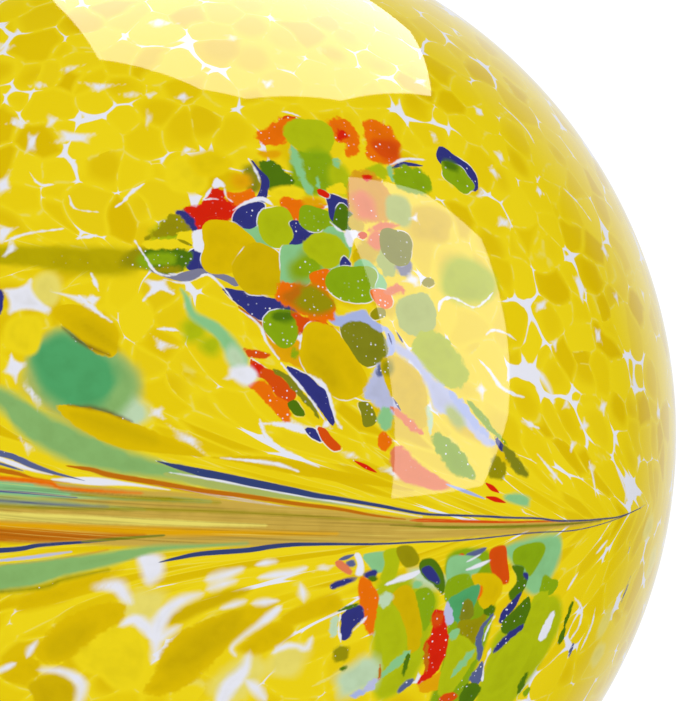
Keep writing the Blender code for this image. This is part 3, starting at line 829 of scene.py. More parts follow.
    Chip(Glass.DARK_LEAF, 54, -18.2, 3, 5, 0, Form.SHARD),
    Chip(Glass.SLATE, 57, -20.4, 1.5, 4, 0, soft=0.3),
    Chip(Glass.SLATE, 67.5, -14.7, 9, 1.2, 70, soft=0.3),
    Chip(Glass.SLATE, 65.8, -9.5, 0.9, 3, 0, soft=0.3),
    Chip(Glass.DARK_LEAF, 49, -23.7, 3, 7, 0, Form.SHARD, soft=0.4),
    Chip(Glass.LEAF, 50.5, -24.8, 2.5, 3, 0),
    Patch(Glass.SLATE, ((29.6, -21.9), (31.0, -21.0), (31.5, -21.6), (29.7, -22.9))),
    Chip(Glass.LAVENDER, 25.7, -21.5, 4, 2.5, 45, soft=0.4),
    Chip(Glass.SKY, 24.3, -22.5, 4, 2, 0, soft=0.4),
    Streak(Glass.SILVER, ((54.6, -13.8, 0.4), (56.8, -15.4, 0.9), (57.2, -17.6, 0.9),
                          (55.8, -19.2, 0.4)), soft=0.3),
    Streak(Glass.SILVER, ((60, -15.8, 0.4), (60.2, -18, 1.0), (59.4, -20.7, 0.4)), soft=0.3),
    Streak(Glass.SILVER, ((57.6, -9.2, 0.4), (58.6, -8.6, 0.9), (59.8, -7.9, 0.4)), soft=0.3),
    Streak(Glass.SILVER, ((52.8, -12.8, 0.4), (53.5, -12, 0.9), (54.4, -11, 0.4)), soft=0.3),
    Chip(Glass.PALE_YELLOW, 71.5, -8, 8, 6, 0, soft=1.2),
    Chip(Glass.PALE_YELLOW, 76, -12.5, 8, 8, 0, soft=1.2),
    Chip(Glass.PALE_YELLOW, 63.7, -18, 6, 8, 0, soft=1.2),
    Chip(Glass.PALE_YELLOW, 65, -22, 7, 7, 0, soft=1.2),
)

# Threads of the dragged band, from the broad ones below to the fine ones on top
BAND: tuple[Mark, ...] = (
    Streak(Glass.TAN, ((-60, -1.6, 4), (-40, -1.4, 10), (-17, -0.9, 15.5), (0, -1.8, 13),
                       (10, -2.3, 11), (20, -3.0, 8.4), (30, -3.8, 5.4), (40, -4.5, 3.6),
                       (50, -5.1, 2.0), (58, -5.5, 0.8)), soft=0.6),
    Streak(Glass.MINT, ((-60, 1.8, 1.5), (-40, 1.9, 3.2), (-16.9, 1.5, 4.4), (-8, 1.1, 2.8),
                        (0, 0.7, 1.6), (6, 0.2, 0.5)), soft=0.5),
    Streak(Glass.OLIVE, ((-9, 0.9, 0.4), (-3, 0.8, 1.8), (2, 0.5, 1.4), (7, 0.1, 0.4)), soft=0.7),
    Streak(Glass.SAGE, ((1, 3.2, 0.8), (6, 2.3, 3.0), (12, 1.1, 2.4), (18, 0.0, 1.2),
                        (24, -1.2, 0.4)), soft=0.4),
    Streak(Glass.AMBER, ((-70, -2.5, 0.5), (-40, -2.4, 2.4), (-17, -2.8, 2.6), (-4, -2.9, 2.4),
                         (8, -3.2, 1.6), (20, -3.7, 0.6)), soft=0.8),
    Streak(Glass.RUST, ((-60, -3.4, 1.0), (-40, -3.8, 2.6), (-17, -3.7, 3.6), (-9, -3.6, 2.4),
                        (-1, -3.4, 0.5)), soft=0.8),
    Streak(Glass.PALE_YELLOW, ((-50, -1.4, 0.8), (-17, -1.6, 2.0), (-2, -1.9, 1.8),
                               (12, -2.5, 0.6)), soft=0.5),
    Streak(Glass.SAGE, ((-40, 0.3, 1.6), (-17, 0.1, 2.4), (-11, -0.1, 2.0), (-6, -0.3, 1.0),
                        (-1, -0.6, 0.4)), soft=0.7),
    Streak(Glass.SLATE, ((-30, 0.2, 0.4), (-17, 0.0, 0.7), (-10, -0.2, 0.6), (-5, -0.4, 0.2)),
           soft=0.7),
    Streak(Glass.OLIVE, ((-50, -0.2, 0.3), (-17, -0.6, 0.7), (0, -0.6, 0.7), (14, -1.4, 0.5),
                         (30, -3.2, 0.3)), soft=0.7),
    Streak(Glass.RUST, ((-30, 4.6, 0.5), (-16.9, 3.3, 1.3), (-12.7, 2.5, 0.5), (-9, 2.2, 0.3)),
           soft=0.3),
    Streak(Glass.TAN, ((-13, 1.9, 0.5), (-6.2, 1.35, 2.0), (-1.3, 1.15, 1.7), (5, 0.9, 1.2),
                       (12, 0.0, 0.4)), soft=0.7),
    Streak(Glass.ORANGE, ((-50, 3.0, 0.3), (-15.5, 2.4, 1.4), (-10.1, 1.6, 1.0),
                          (-6.2, 1.35, 0.8), (-1.3, 1.15, 0.4)), soft=0.6),
    Streak(Glass.SILVER, ((-11.2, 2.5, 0.4), (-6.8, 2.4, 2.0), (-2.6, 2.1, 0.8),
                          (1.6, 1.5, 0.3)), soft=0.3),
    Streak(Glass.RUST, ((-9.6, 4.0, 0.4), (-6.7, 3.6, 1.2), (-4.9, 3.1, 1.4), (0, 2.3, 1.4),
                        (5, 1.4, 1.3), (10, 0.7, 1.2), (15, -0.2, 1.1), (20, -1, 1.0),
                        (24, -1.9, 0.7), (28, -2.6, 0.3)), soft=0.25),
    Streak(Glass.SLATE, ((-24, 1.2, 0.3), (-16.9, 1.05, 0.7), (-12.6, 0.9, 0.7),
                         (-8.3, 0.6, 0.4)), soft=0.2),
    Streak(Glass.SILVER, ((-30, 8.2, 0.4), (-16.9, 4.5, 1.2), (-13.5, 3.5, 0.8),
                          (-11, 3.0, 0.3)), soft=0.3),
    Streak(Glass.SLATE, ((-60, 9.5, 0.3), (-30, 7.6, 1.8), (-16.9, 5.1, 1.6), (-15, 4.6, 1.6),
                         (-13.2, 3.9, 1.5), (-10.9, 3.2, 0.9), (-8.9, 2.75, 0.5),
                         (-7.4, 2.4, 0.2)), soft=0.2),
    Streak(Glass.SLATE, ((-26, 6.2, 0.3), (-16.9, 4, 0.8), (-14.2, 3.3, 0.25)), soft=0.2),
    Streak(Glass.BLAZE, ((28.4, -2.75, 0.2), (29.8, -2.8, 0.9), (32, -3, 0.95), (37, -3.5, 0.8),
                         (42, -4, 0.6), (47, -4.4, 0.5), (51, -4.8, 0.25)), soft=0.25),
    Streak(Glass.MOSS, ((26, -3.1, 0.2), (34, -3.9, 0.8), (46, -4.8, 0.8), (56, -5.4, 0.4),
                        (64, -5.6, 0.15)), soft=0.3),
    Streak(Glass.SILVER, ((1.5, 3.4, 0.3), (7.5, 2.35, 0.7), (14, 0.95, 0.6), (22, -0.7, 0.4),
                          (30, -2.45, 0.2)), soft=0.3),
    Streak(Glass.BLUE_GREY, ((0.2, 4.6, 0.3), (2.4, 4, 1.3), (5, 3.35, 2.0), (7.5, 2.85, 1.9),
                             (10, 2.25, 2.0), (12.5, 1.7, 1.9), (15, 1.15, 1.7),
                             (17.5, 0.55, 1.5), (20, 0.1, 1.2), (25, -0.95, 1.0),
                             (30, -2.1, 0.8), (34.3, -2.6, 0.7), (37.6, -2.95, 0.7),
                             (41.9, -3.5, 0.65), (46.3, -4, 0.6), (49.6, -4.6, 0.6),
                             (54.6, -5.1, 0.5), (58.4, -5.35, 0.5), (62, -5.55, 0.45),
                             (68, -5.3, 0.3)), soft=0.2),
    Streak(Glass.AMBER, ((-60, -7.0, 0.4), (-30, -8.2, 1.0), (-13.5, -6.8, 1.3),
                         (-9.5, -6, 1.0), (-5, -5, 0.5)), soft=0.3),
    Streak(Glass.TAIL, ((-60, -9.6, 2.0), (-30, -9.8, 6.0), (-16, -8.3, 6.5), (-10, -7, 4.6),
                        (-5, -6, 3.6), (0, -4.9, 1.9), (5, -4.6, 1.0), (10, -4.4, 0.5)),
           soft=0.8),
    Streak(Glass.OLIVE, ((-30, -11.4, 0.6), (-13.8, -9.6, 1.0), (-10, -8.4, 0.9),
                         (-5, -7.2, 0.5)), soft=0.9),
    Streak(Glass.LAVENDER, ((-22, -7.2, 0.4), (-14.6, -6.2, 0.9), (-11.5, -5.7, 0.8),
                            (-9, -5.3, 0.4)), soft=0.3),
    Streak(Glass.BLUE_GREY, ((-60, -5.2, 0.4), (-34, -6.6, 1.4), (-16.9, -5.4, 1.4),
                             (-12.6, -4.7, 1.1), (-7.5, -4.2, 0.7), (-2.4, -3.65, 0.5),
                             (1, -3.4, 0.3)), soft=0.2),
    Streak(Glass.MOSS, ((-8, -4.2, 0.3), (-4, -3.8, 0.8), (1, -3.4, 0.5)), soft=0.3),
    Streak(Glass.BLUE_GREY, ((0.3, -6.4, 0.3), (2, -6, 0.9), (5, -5.45, 1.3), (10, -5.15, 1.4),
                             (12.5, -4.85, 1.3), (15, -4.7, 1.1), (17.5, -4.75, 0.9),
                             (20, -4.85, 0.8), (25, -5.1, 0.65), (30, -5.2, 0.6),
                             (34.5, -5.4, 0.55), (45, -5.5, 0.45), (53.2, -6, 0.4),
                             (62.2, -5.7, 0.35), (69.5, -5.1, 0.2)), soft=0.2),
)


def softened(marks: Iterable[Mark], soft: float) -> tuple[Mark, ...]:
    """The same marks, each at least so soft and so without a rim."""
    return tuple(replace(mark, soft=max(mark.soft, soft)) for mark in marks)


ALL_MARKS: tuple[Mark, ...] = (STAINS + GOLDEN + FRONT_GAPS + BELOW_CLUSTER + CLUSTER
                               + softened(LOWER_CLUSTER, 0.3) + BAND)


@dataclass
class DragLine:
    """A line along which the soft glass was dragged, and how far.

    The glass at the line moved by pull_mm, and less with distance, by a factor of e for each
    fade_mm. The pull changes along the line as (longitude, share) pairs say.
    """

    line: tuple[tuple[float, float], ...]
    pull_mm: float
    fade_mm: float
    shares: tuple[tuple[float, float], ...]

    def offsets(self, lon: np.ndarray, lat: np.ndarray, radius_mm: float) -> np.ndarray:
        """Distances above the line in millimetres."""
        known = np.array(self.line)
        return np.radians(lat - np.interp(lon, known[:, 0], known[:, 1])) * radius_mm

    def shift(self, lon: np.ndarray, lat: np.ndarray, radius_mm: float) -> np.ndarray:
        """Degrees of longitude by which the glass at each place was dragged.

        Args:
            lon: Longitudes in degrees.
            lat: Latitudes in degrees.
            radius_mm: The ball's radius.

        Returns:
            The shifts, one for each place.
        """
        share = np.interp(lon, *np.array(self.shares).T)
        away = np.abs(self.offsets(lon, lat, radius_mm))
        moved = self.pull_mm * share * np.exp(-away / self.fade_mm)
        return np.degrees(moved / (radius_mm * np.maximum(np.cos(np.radians(lat)), 0.2)))


@dataclass
class BallSurface:
    """Round skin of the ball as a grid on six sides, finest where the coloured chips lie."""

    centre: tuple[float, float, float]
    radius: float
    flat_height: float
    rows: int = 127
    crowding: float = 2.2
    crowd_lon: float = 22.0
    crowd_lat: float = 13.0
    ripple: float = 0.00005
    edge_angle: float = 8.0
    cut_tolerance: float = 1e-7
    sheet_margin: float = 0.004
    sheet_foot: float = 0.06
    spot_middle: float = 0.028
    spot_spread: float = 0.9

    @classmethod
    def from_frame(cls) -> "BallSurface":
        """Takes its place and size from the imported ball."""
        low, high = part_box(BALL_NODE)
        radius = (high[0] - low[0]) / 2
        return cls(centre=(0.0, 0.0, high[2] - radius), radius=radius, flat_height=low[2])

    @property
    def radius_mm(self) -> float:
        """Radius in millimetres."""
        return self.radius / MM

    def crowd(self, points: np.ndarray) -> np.ndarray:
        """Draws the grid's points towards the middle of the cluster, keeping their angles.

        Args:
            points: Unit vectors.

        Returns:
            The moved unit vectors.
        """
        middle, _, _ = compass(self.crowd_lon, self.crowd_lat)
        along = np.clip(points @ middle, -1.0, 1.0)
        side = points - along[:, None] * middle
        size = np.linalg.norm(side, axis=1, keepdims=True)
        side = np.divide(side, size, out=np.zeros_like(side), where=size > 1e-9)
        half = np.arccos(along) / 2
        angle = 2 * np.arctan2(np.sin(half), np.cos(half) * self.crowding)
        return np.cos(angle)[:, None] * middle + np.sin(angle)[:, None] * side

    def grid(self) -> tuple[np.ndarray, np.ndarray, np.ndarray]:
        """Lays out the six square sides.

        Returns:
            Unit vectors, the four points of each face, and a place on the bake sheet for each
            corner of each face.
        """
        n = self.rows
        steps = np.linspace(-1.0, 1.0, n + 1)
        bulge = np.tan(steps * math.pi / 4)
        outward, rightward, upward = compass(self.crowd_lon, self.crowd_lat)
        sides = (
            (outward, rightward, upward), (rightward, -outward, upward),
            (-outward, -rightward, upward), (-rightward, outward, upward),
            (upward, rightward, -outward), (-upward, rightward, outward),
        )
        rows, columns = np.meshgrid(np.arange(n), np.arange(n), indexing="ij")
        corners = np.stack([rows * (n + 1) + columns, rows * (n + 1) + columns + 1,
                            (rows + 1) * (n + 1) + columns + 1, (rows + 1) * (n + 1) + columns],
                           axis=-1).reshape(-1, 4)
        u, v = np.meshgrid((steps + 1) / 2, (steps + 1) / 2)
        sheet = np.stack([u.ravel(), v.ravel()], axis=-1)
        margin, foot = self.sheet_margin, self.sheet_foot
        points, faces, places = [], [], []
        for number, (normal, across, up) in enumerate(sides):
            x, y = np.meshgrid(bulge, bulge)
            side = normal + x[..., None] * across + y[..., None] * up
            points.append(side.reshape(-1, 3))
            faces.append(corners + number * (n + 1) ** 2)
            size = np.array([1 / 3 - 2 * margin, (1 - foot) / 2 - 2 * margin])
            start = np.array([number % 3 / 3, foot + number // 3 * (1 - foot) / 2]) + margin
            places.append((start + sheet * size)[corners])
        unit = np.vstack(points)
        unit /= np.linalg.norm(unit, axis=1, keepdims=True)
        _, first, same = np.unique(np.round(unit, 7), axis=0, return_index=True,
                                   return_inverse=True)
        faces = same.ravel()[np.vstack(faces)]
        return self.crowd(unit[first]), faces, np.vstack(places)

    def ripples(self, unit: np.ndarray) -> np.ndarray:
        """How far each point of the hand-blown skin lies inside a true sphere."""
        wave = (np.sin(5.1 * unit[:, 0] + 2.3 * unit[:, 2] + 0.4)
                * np.sin(4.3 * unit[:, 2] - 3.1 * unit[:, 1] + 1.1))
        return self.ripple * (0.5 + 0.5 * wave)

    def build(self, name: str) -> bpy.types.Object:
        """Makes the ball's mesh, cut flat below.

        Args:
            name: The piece's name.

        Returns:
            The new object, linked to the scene.
        """
        unit, faces, places = self.grid()
        points = unit * (self.radius - self.ripples(unit))[:, None] + np.array(self.centre)
        mesh = bpy.data.meshes.new(name)
        mesh.from_pydata(points.tolist(), [], faces.tolist())
        sheet = mesh.uv_layers.new(name="OFBake")
        sheet.uv.foreach_set("vector", places.reshape(-1).astype(np.float32))
        self.cut_flat(mesh)
        mesh.shade_smooth()
        mesh.set_sharp_from_angle(angle=math.radians(self.edge_angle))
        ball = bpy.data.objects.new(name, mesh)
        bpy.context.scene.collection.objects.link(ball)
        return ball

    def cut_flat(self, mesh: bpy.types.Mesh) -> None:
        """Grinds the flat spot and closes it with a fan of faces.

        Args:
            mesh: The round mesh, changed in place.
        """
        shape = bmesh.new()
        shape.from_mesh(mesh)
        cut = bmesh.ops.bisect_plane(
            shape, geom=shape.verts[:] + shape.edges[:] + shape.faces[:],
            dist=self.cut_tolerance, plane_co=(0.0, 0.0, self.flat_height),
            plane_no=(0.0, 0.0, 1.0), clear_inner=True,
        )
        rim = [item for item in cut["geom_cut"] if isinstance(item, bmesh.types.BMEdge)]
        flat = bmesh.ops.contextual_create(shape, geom=rim)["faces"]
        fan = bmesh.ops.poke(shape, faces=flat)["faces"]
        sheet = shape.loops.layers.uv["OFBake"]
        spot, spread = self.spot_middle, self.spot_spread
        for face in fan:
            for loop in face.loops:
                place = loop.vert.co
                loop[sheet].uv = (spot + place.x * spread, spot + place.y * spread)
        bmesh.ops.recalc_face_normals(shape, faces=shape.faces[:])
        shape.to_mesh(mesh)
        shape.free()


@dataclass
class MeltSheets:
    """Stacks the marks into as few sheets as keep each one above those that it covers.

    On a sheet, every point of the ball knows the nearest mark: cross is how far the point lies
    beside a thread's middle and 0 for a chip, and the point is inside where |cross| is less
    than reach.
    """

    unit: np.ndarray
    radius_mm: float
    spacing_mm: np.ndarray
    outside_mm: float = -14.0
    outside_code: float = 0.1
    body_mm: float = 0.4
    room_mm: float = 6.0
    chip_room_mm: float = 8.0
    chip_share: float = 0.75
    thinnest_mm: float = 0.05
    widest_room: float = 3.1
    least_soft_mm: float = 0.15
    soft_spacings: float = 1.3
    sheets: list[dict[str, np.ndarray]] = field(default_factory=list)

    def new_sheet(self) -> dict[str, np.ndarray]:
        """An empty sheet."""
        count = len(self.unit)
        return {
            "cross": np.zeros(count), "reach": np.full(count, self.outside_mm),
            "code": np.full(count, self.outside_code),
            "taken": np.zeros(count, dtype=bool), "body": np.zeros(count, dtype=bool),
        }

    def lay(self, marks: Iterable[Mark]) -> None:
        """Lays every mark, the later ones on top.

        Args:
            marks: The chips and threads.
        """
        for number, mark in enumerate(marks):
            draw = np.random.default_rng(SEED + number)
            if isinstance(mark, Chip):
                self.place(mark, *self.measure_chip(mark, draw))
            elif isinstance(mark, Patch):
                self.place(mark, *self.measure_patch(mark))
            else:
                self.place(mark, *self.measure_streak(mark))

    def flatten(self, lon: float, lat: float, unit: np.ndarray) -> tuple[np.ndarray, np.ndarray]:
        """Lays places of the ball flat about one of them.

        Args:
            lon: Longitude of the place that stays in the middle.
            lat: Its latitude.
            unit: Unit vectors to the places.

        Returns:
            How far each place lies to the right and above, in millimetres along the surface.
        """
        outward, rightward, upward = compass(lon, lat)
        along = np.clip(unit @ outward, -1, 1)
        stretch = np.arccos(along) / np.maximum(np.sqrt(1 - along**2), 1e-6) * self.radius_mm
        return unit @ rightward * stretch, unit @ upward * stretch

    def near(self, lon: float, lat: float, room_mm: float) -> np.ndarray:
        """Numbers of the ball's points that lie near a place."""
        outward, _, _ = compass(lon, lat)
        return np.flatnonzero(self.unit @ outward > math.cos(room_mm / self.radius_mm))

    def measure_patch(self, patch: Patch) -> tuple:
        """Distances of the ball's points to a patch.

        Args:
            patch: The patch.

        Returns:
            Which points lie near, and their cross and reach.
        """
        corners = smooth_path(patch.outline, 4, closed=True)[:-1]
        lon, lat = corners.mean(axis=0)
        rim_x, rim_y = self.flatten(lon, lat, directions(corners[:, 0], corners[:, 1]))
        near = self.near(lon, lat, np.hypot(rim_x, rim_y).max() + self.room_mm)
        x, y = self.flatten(lon, lat, self.unit[near])
        best = np.full(len(near), 1e9)
        inside = np.zeros(len(near), dtype=bool)
        for ax, ay, bx, by in zip(rim_x, rim_y, np.roll(rim_x, -1), np.roll(rim_y, -1)):
            side_x, side_y = bx - ax, by - ay
            length = max(side_x**2 + side_y**2, 1e-9)
            t = np.clip(((x - ax) * side_x + (y - ay) * side_y) / length, 0, 1)
            best = np.minimum(best, np.hypot(x - ax - t * side_x, y - ay - t * side_y))
            if side_y != 0.0:
                level = (ay > y) != (by > y)
                inside ^= level & (x < side_x * (y - ay) / side_y + ax)
        return near, np.zeros(len(near)), np.where(inside, best, -best)

    def measure_chip(self, chip: Chip, draw: np.random.Generator) -> tuple:
        """Distances of the ball's points to a chip.

        Args:
            chip: The chip.
            draw: Source of its unevenness.

        Returns:
            Which points lie near, and their cross and reach.
        """
        room = max(chip.long_mm, chip.wide_mm) * self.chip_share + self.chip_room_mm
        near = self.near(chip.lon, chip.lat, room)
        east, north = self.flatten(chip.lon, chip.lat, self.unit[near])
        turn = math.radians(chip.turn)
        x = east * math.cos(turn) + north * math.sin(turn)
        y = north * math.cos(turn) - east * math.sin(turn)
        away = SHAPERS[chip.form](x, y, chip.long_mm / 2, chip.wide_mm / 2, draw)
        return near, np.zeros_like(away), -away

    def measure_streak(self, streak: Streak) -> tuple:
        """Distances of the ball's points to a thread.

        Args:
            streak: The thread.

        Returns:
            Which points lie near, and their cross and reach.
        """
        path = smooth_path(streak.points)
        path[:, 2] = np.maximum(path[:, 2], self.thinnest_mm)
        knots = directions(path[:, 0], path[:, 1])
        spans = np.linalg.norm(np.diff(knots, axis=0), axis=1)
        middle = knots.mean(axis=0)
        middle /= np.linalg.norm(middle)
        widest = path[:, 2].max() / 2
        room = np.arccos(np.clip((knots @ middle).min(), -1, 1))
        room += (widest + self.room_mm) / self.radius_mm
        near = np.flatnonzero(self.unit @ middle > math.cos(min(room, self.widest_room)))
        points = self.unit[near]
        best = np.full(len(near), 1e9)
        cross, width = np.zeros(len(near)), np.zeros(len(near))
        for i, span in enumerate(spans):
            step = (knots[i + 1] - knots[i]) / span
            t = np.clip((points - knots[i]) @ step / span, 0, 1)
            gap = points - knots[i] - (t * span)[:, None] * step
            away = np.linalg.norm(gap, axis=1)
            closer = away < best
            best = np.where(closer, away, best)
            side = np.cross(knots[i], step)
            across = points @ (side / np.linalg.norm(side)) * self.radius_mm
            cross = np.where(closer, across, cross)
            width = np.where(closer, path[i, 2] + t * (path[i + 1, 2] - path[i, 2]), width)
        beyond = np.sqrt(np.maximum((best * self.radius_mm) ** 2 - cross**2, 0.0))
        return near, cross, width / 2 - beyond

    def place(self, mark: Mark, near: np.ndarray, cross: np.ndarray,
              reach: np.ndarray) -> None:
        """Puts a measured mark on the lowest sheet where it covers what lies below it.

        Args:
            mark: The chip or thread.
            near: The points near it.
            cross: How far each lies beside its middle line.
            reach: How far from that line its border lies.
        """
        away = np.abs(cross) - reach
        spacing = self.spacing_mm[near]
        margin = max(mark.soft, self.least_soft_mm) + self.soft_spacings * spacing
        ring = margin + (spacing if isinstance(mark, Streak) else 0.0)
        cross = np.where(away < margin, cross, 0.0)
        reach = np.where(away < margin, reach, -away)
        body, taken = near[away < self.body_mm], near[away < ring]
        if not len(taken):
            return
        lowest = 0
        for number, sheet in enumerate(self.sheets):
            if sheet["body"][body].any():
                lowest = number + 1
        while lowest < len(self.sheets) and self.sheets[lowest]["taken"][taken].any():
            lowest += 1
        if lowest == len(self.sheets):
            self.sheets.append(self.new_sheet())
        sheet = self.sheets[lowest]
        keep = away < ring
        sheet["cross"][taken] = cross[keep]
        sheet["reach"][taken] = reach[keep]
        sheet["code"][taken] = list(Glass).index(mark.glass) + mark.soft / SOFTEST_MM
        sheet["taken"][taken] = True
        sheet["body"][body] = True


class Desk:
    """A node tree with short ways to add nodes and join them."""

    MIX_FACTOR, MIX_FIRST, MIX_SECOND, MIX_RESULT = 0, 6, 7, 2

    def __init__(self, tree: bpy.types.NodeTree) -> None:
        """Starts work on a tree."""
        self.tree = tree

    def node(self, kind: str, settings: dict | None = None,
             inputs: dict | None = None) -> bpy.types.Node:
        """Adds a node.

        Args:
            kind: Its type.
            settings: Its properties by name.
            inputs: Its inputs by name or number, each a value or a socket to join.

        Returns:
            The node.
        """
        node = self.tree.nodes.new(kind)
        for name, value in (settings or {}).items():
            setattr(node, name, value)
        for name, value in (inputs or {}).items():
            self.set(node.inputs[name], value)
        return node

    def set(self, socket: bpy.types.NodeSocket, value: Setting) -> None:
        """Gives a socket a value or joins another socket to it."""
        if isinstance(value, bpy.types.NodeSocket):
            self.tree.links.new(value, socket)
        else:
            socket.default_value = value

    def math(self, operation: str, *values: Setting) -> bpy.types.NodeSocket:
        """Adds a sum on numbers and returns its result."""
        settings = {"operation": operation}
        return self.node("ShaderNodeMath", settings, dict(enumerate(values))).outputs[0]

    def vector(self, operation: str, first: Setting, second: Setting) -> bpy.types.NodeSocket:
        """Adds a sum on vectors and returns its result."""
        inputs = {0: first, ("Scale" if operation == "SCALE" else 1): second}
        return self.node("ShaderNodeVectorMath", {"operation": operation}, inputs).outputs[0]

    def split(self, value: Setting) -> bpy.types.NodeOutputs:
        """Splits a colour into its three numbers."""
        return self.node("ShaderNodeSeparateColor", None, {0: value}).outputs

    def parts(self, value: Setting) -> bpy.types.NodeOutputs:
        """Splits a vector into its three numbers."""
        return self.node("ShaderNodeSeparateXYZ", None, {0: value}).outputs

    def ramp(self, value: Setting, low: Setting, high: Setting, to_low: Setting = 0.0,
             to_high: Setting = 1.0) -> bpy.types.NodeSocket:
        """Maps a number smoothly from one range to another, held at its ends."""
        inputs = {"Value": value, "From Min": low, "From Max": high, "To Min": to_low,
                  "To Max": to_high}
        return self.node("ShaderNodeMapRange", {"interpolation_type": "SMOOTHSTEP"},
                         inputs).outputs[0]

    def mix(self, share: Setting, first: Setting, second: Setting,
            blend: str = "MIX") -> bpy.types.NodeSocket:
        """Mixes two colours."""
        inputs = {self.MIX_FACTOR: share, self.MIX_FIRST: first, self.MIX_SECOND: second}
        settings = {"data_type": "RGBA", "blend_type": blend}
        return self.node("ShaderNodeMix", settings, inputs).outputs[self.MIX_RESULT]

    def noise(self, vector: Setting, scale: float, detail: float = 2.0,
              colour: bool = False) -> bpy.types.NodeSocket:
        """Adds a cloudy pattern."""
        inputs = {"Vector": vector, "Scale": scale, "Detail": detail}
        return self.node("ShaderNodeTexNoise", None, inputs).outputs["Color" if colour else "Fac"]

    def cells(self, vector: Setting, scale: float, feature: str = "F1") -> bpy.types.Node:
        """Adds a pattern of cells."""
        inputs = {"Vector": vector, "Scale": scale}
        return self.node("ShaderNodeTexVoronoi", {"feature": feature}, inputs)

    def attribute(self, name: str) -> bpy.types.Node:
        """Adds a reader of values that the mesh carries."""
        return self.node("ShaderNodeAttribute", {"attribute_name": name})

    def palette(self, value: Setting, stops: Sequence[tuple[float, Glass]],
                steps: bool = False) -> bpy.types.NodeSocket:
        """Turns a number into one of several glasses.

        Args:
            value: The number, from 0 to 1.
            stops: Where along it each glass lies.
            steps: Whether the glasses change sharply.

        Returns:
            The colour.
        """
        node = self.node("ShaderNodeValToRGB", None, {0: value})
        node.color_ramp.interpolation = "CONSTANT" if steps else "LINEAR"
        elements = node.color_ramp.elements
        while len(elements) < len(stops):
            elements.new(0.5)
        for element, (place, glass) in zip(elements, stops):
            element.position = place
            element.color = colour(glass)
        return node.outputs[0]


def new_group(name: str, inputs: dict[str, str], outputs: dict[str, str]) -> tuple:
    """Starts a shader node group.

    Args:
        name: The group's name.
        inputs: Socket types by input name.
        outputs: Socket types by output name.

    Returns:
        The tree, a desk on it, the inputs' sockets and the outputs' sockets.
    """
    tree = bpy.data.node_groups.new(name, "ShaderNodeTree")
    for direction, sockets in (("INPUT", inputs), ("OUTPUT", outputs)):
        for socket_name, kind in sockets.items():
            tree.interface.new_socket(name=socket_name, in_out=direction,
                                      socket_type=f"NodeSocket{kind}")
    desk = Desk(tree)
    return tree, desk, desk.node("NodeGroupInput").outputs, desk.node("NodeGroupOutput").inputs


def colour(glass: Glass) -> tuple[float, float, float, float]:
    """A glass as a shader's colour."""
    return (*linear(glass.value), 1.0)


@dataclass(frozen=True)
class YellowField:
    """Yellow chips melted together, with silvery gaps where their corners meet."""

    chip_mm: float = 9.0
    sway_mm: float = 6.0

    def group(self) -> bpy.types.NodeTree:
        """Builds the shader group.

        Returns:
            The group. Its Cell output holds random numbers, one set for each chip, and its Edge
            output tells how far the chip's border lies, in chips.
        """
        tree, desk, given, out = new_group(
            "Yellow field", {"Flow": "Vector", "Wild": "Float"},
            {"Color": "Color", "Cell": "Color", "Edge": "Float"},
        )
        sway = desk.vector("SUBTRACT", desk.noise(given["Flow"], 0.08, 1.0, True), (0.5,) * 3)
        warped = desk.vector("ADD", given["Flow"], desk.vector("SCALE", sway, self.sway_mm))
        cell = desk.cells(warped, 1.0 / self.chip_mm)
        near = cell.outputs["Distance"]
        edge = desk.cells(warped, 1.0 / self.chip_mm, "DISTANCE_TO_EDGE").outputs["Distance"]
        split = desk.split(cell.outputs["Color"])
        fine = desk.noise(given["Flow"], 0.33, 1.5)
        patch = desk.noise(given["Flow"], 0.05, 1.0)
        tone = desk.palette(split[0], (
            (0.0, Glass.YELLOW), (0.4, Glass.BRIGHT_YELLOW), (0.7, Glass.YELLOW),
            (0.85, Glass.CHIP_GOLD), (1.0, Glass.BRIGHT_YELLOW)))
        yellow = desk.mix(desk.ramp(edge, 0.0, 0.16, 0.15, 1.0), colour(Glass.BRIGHT_YELLOW), tone)
        core = desk.math("MULTIPLY", desk.ramp(near, 0.66, 0.3),
                         desk.ramp(split[1], 0.45, 1.0, 0.0, 0.85))
        yellow = desk.mix(core, yellow, colour(Glass.CHIP_GOLD))
        line = desk.math("MULTIPLY", desk.ramp(edge, 0.045, 0.0),
                         desk.ramp(fine, 0.46, 0.62, 0.0, 0.6))
        yellow = desk.mix(line, yellow, colour(Glass.PALE_YELLOW))
        hollow = desk.math("SUBTRACT", near, desk.math("MULTIPLY", edge, 1.3))
        hollow = desk.math("ADD", hollow, desk.math("MULTIPLY", fine, 0.14))
        hollow = desk.math("ADD", hollow, desk.math("MULTIPLY", patch, 0.5))
        limit = desk.ramp(given["Wild"], 0.0, 1.0, 1.1, 1.0)
        gap = desk.ramp(desk.math("SUBTRACT", hollow, limit), 0.0, 0.07)
        desk.set(out["Color"], desk.mix(gap, yellow, colour(Glass.SILVER)))
        desk.set(out["Cell"], cell.outputs["Color"])
        desk.set(out["Edge"], edge)
        return tree


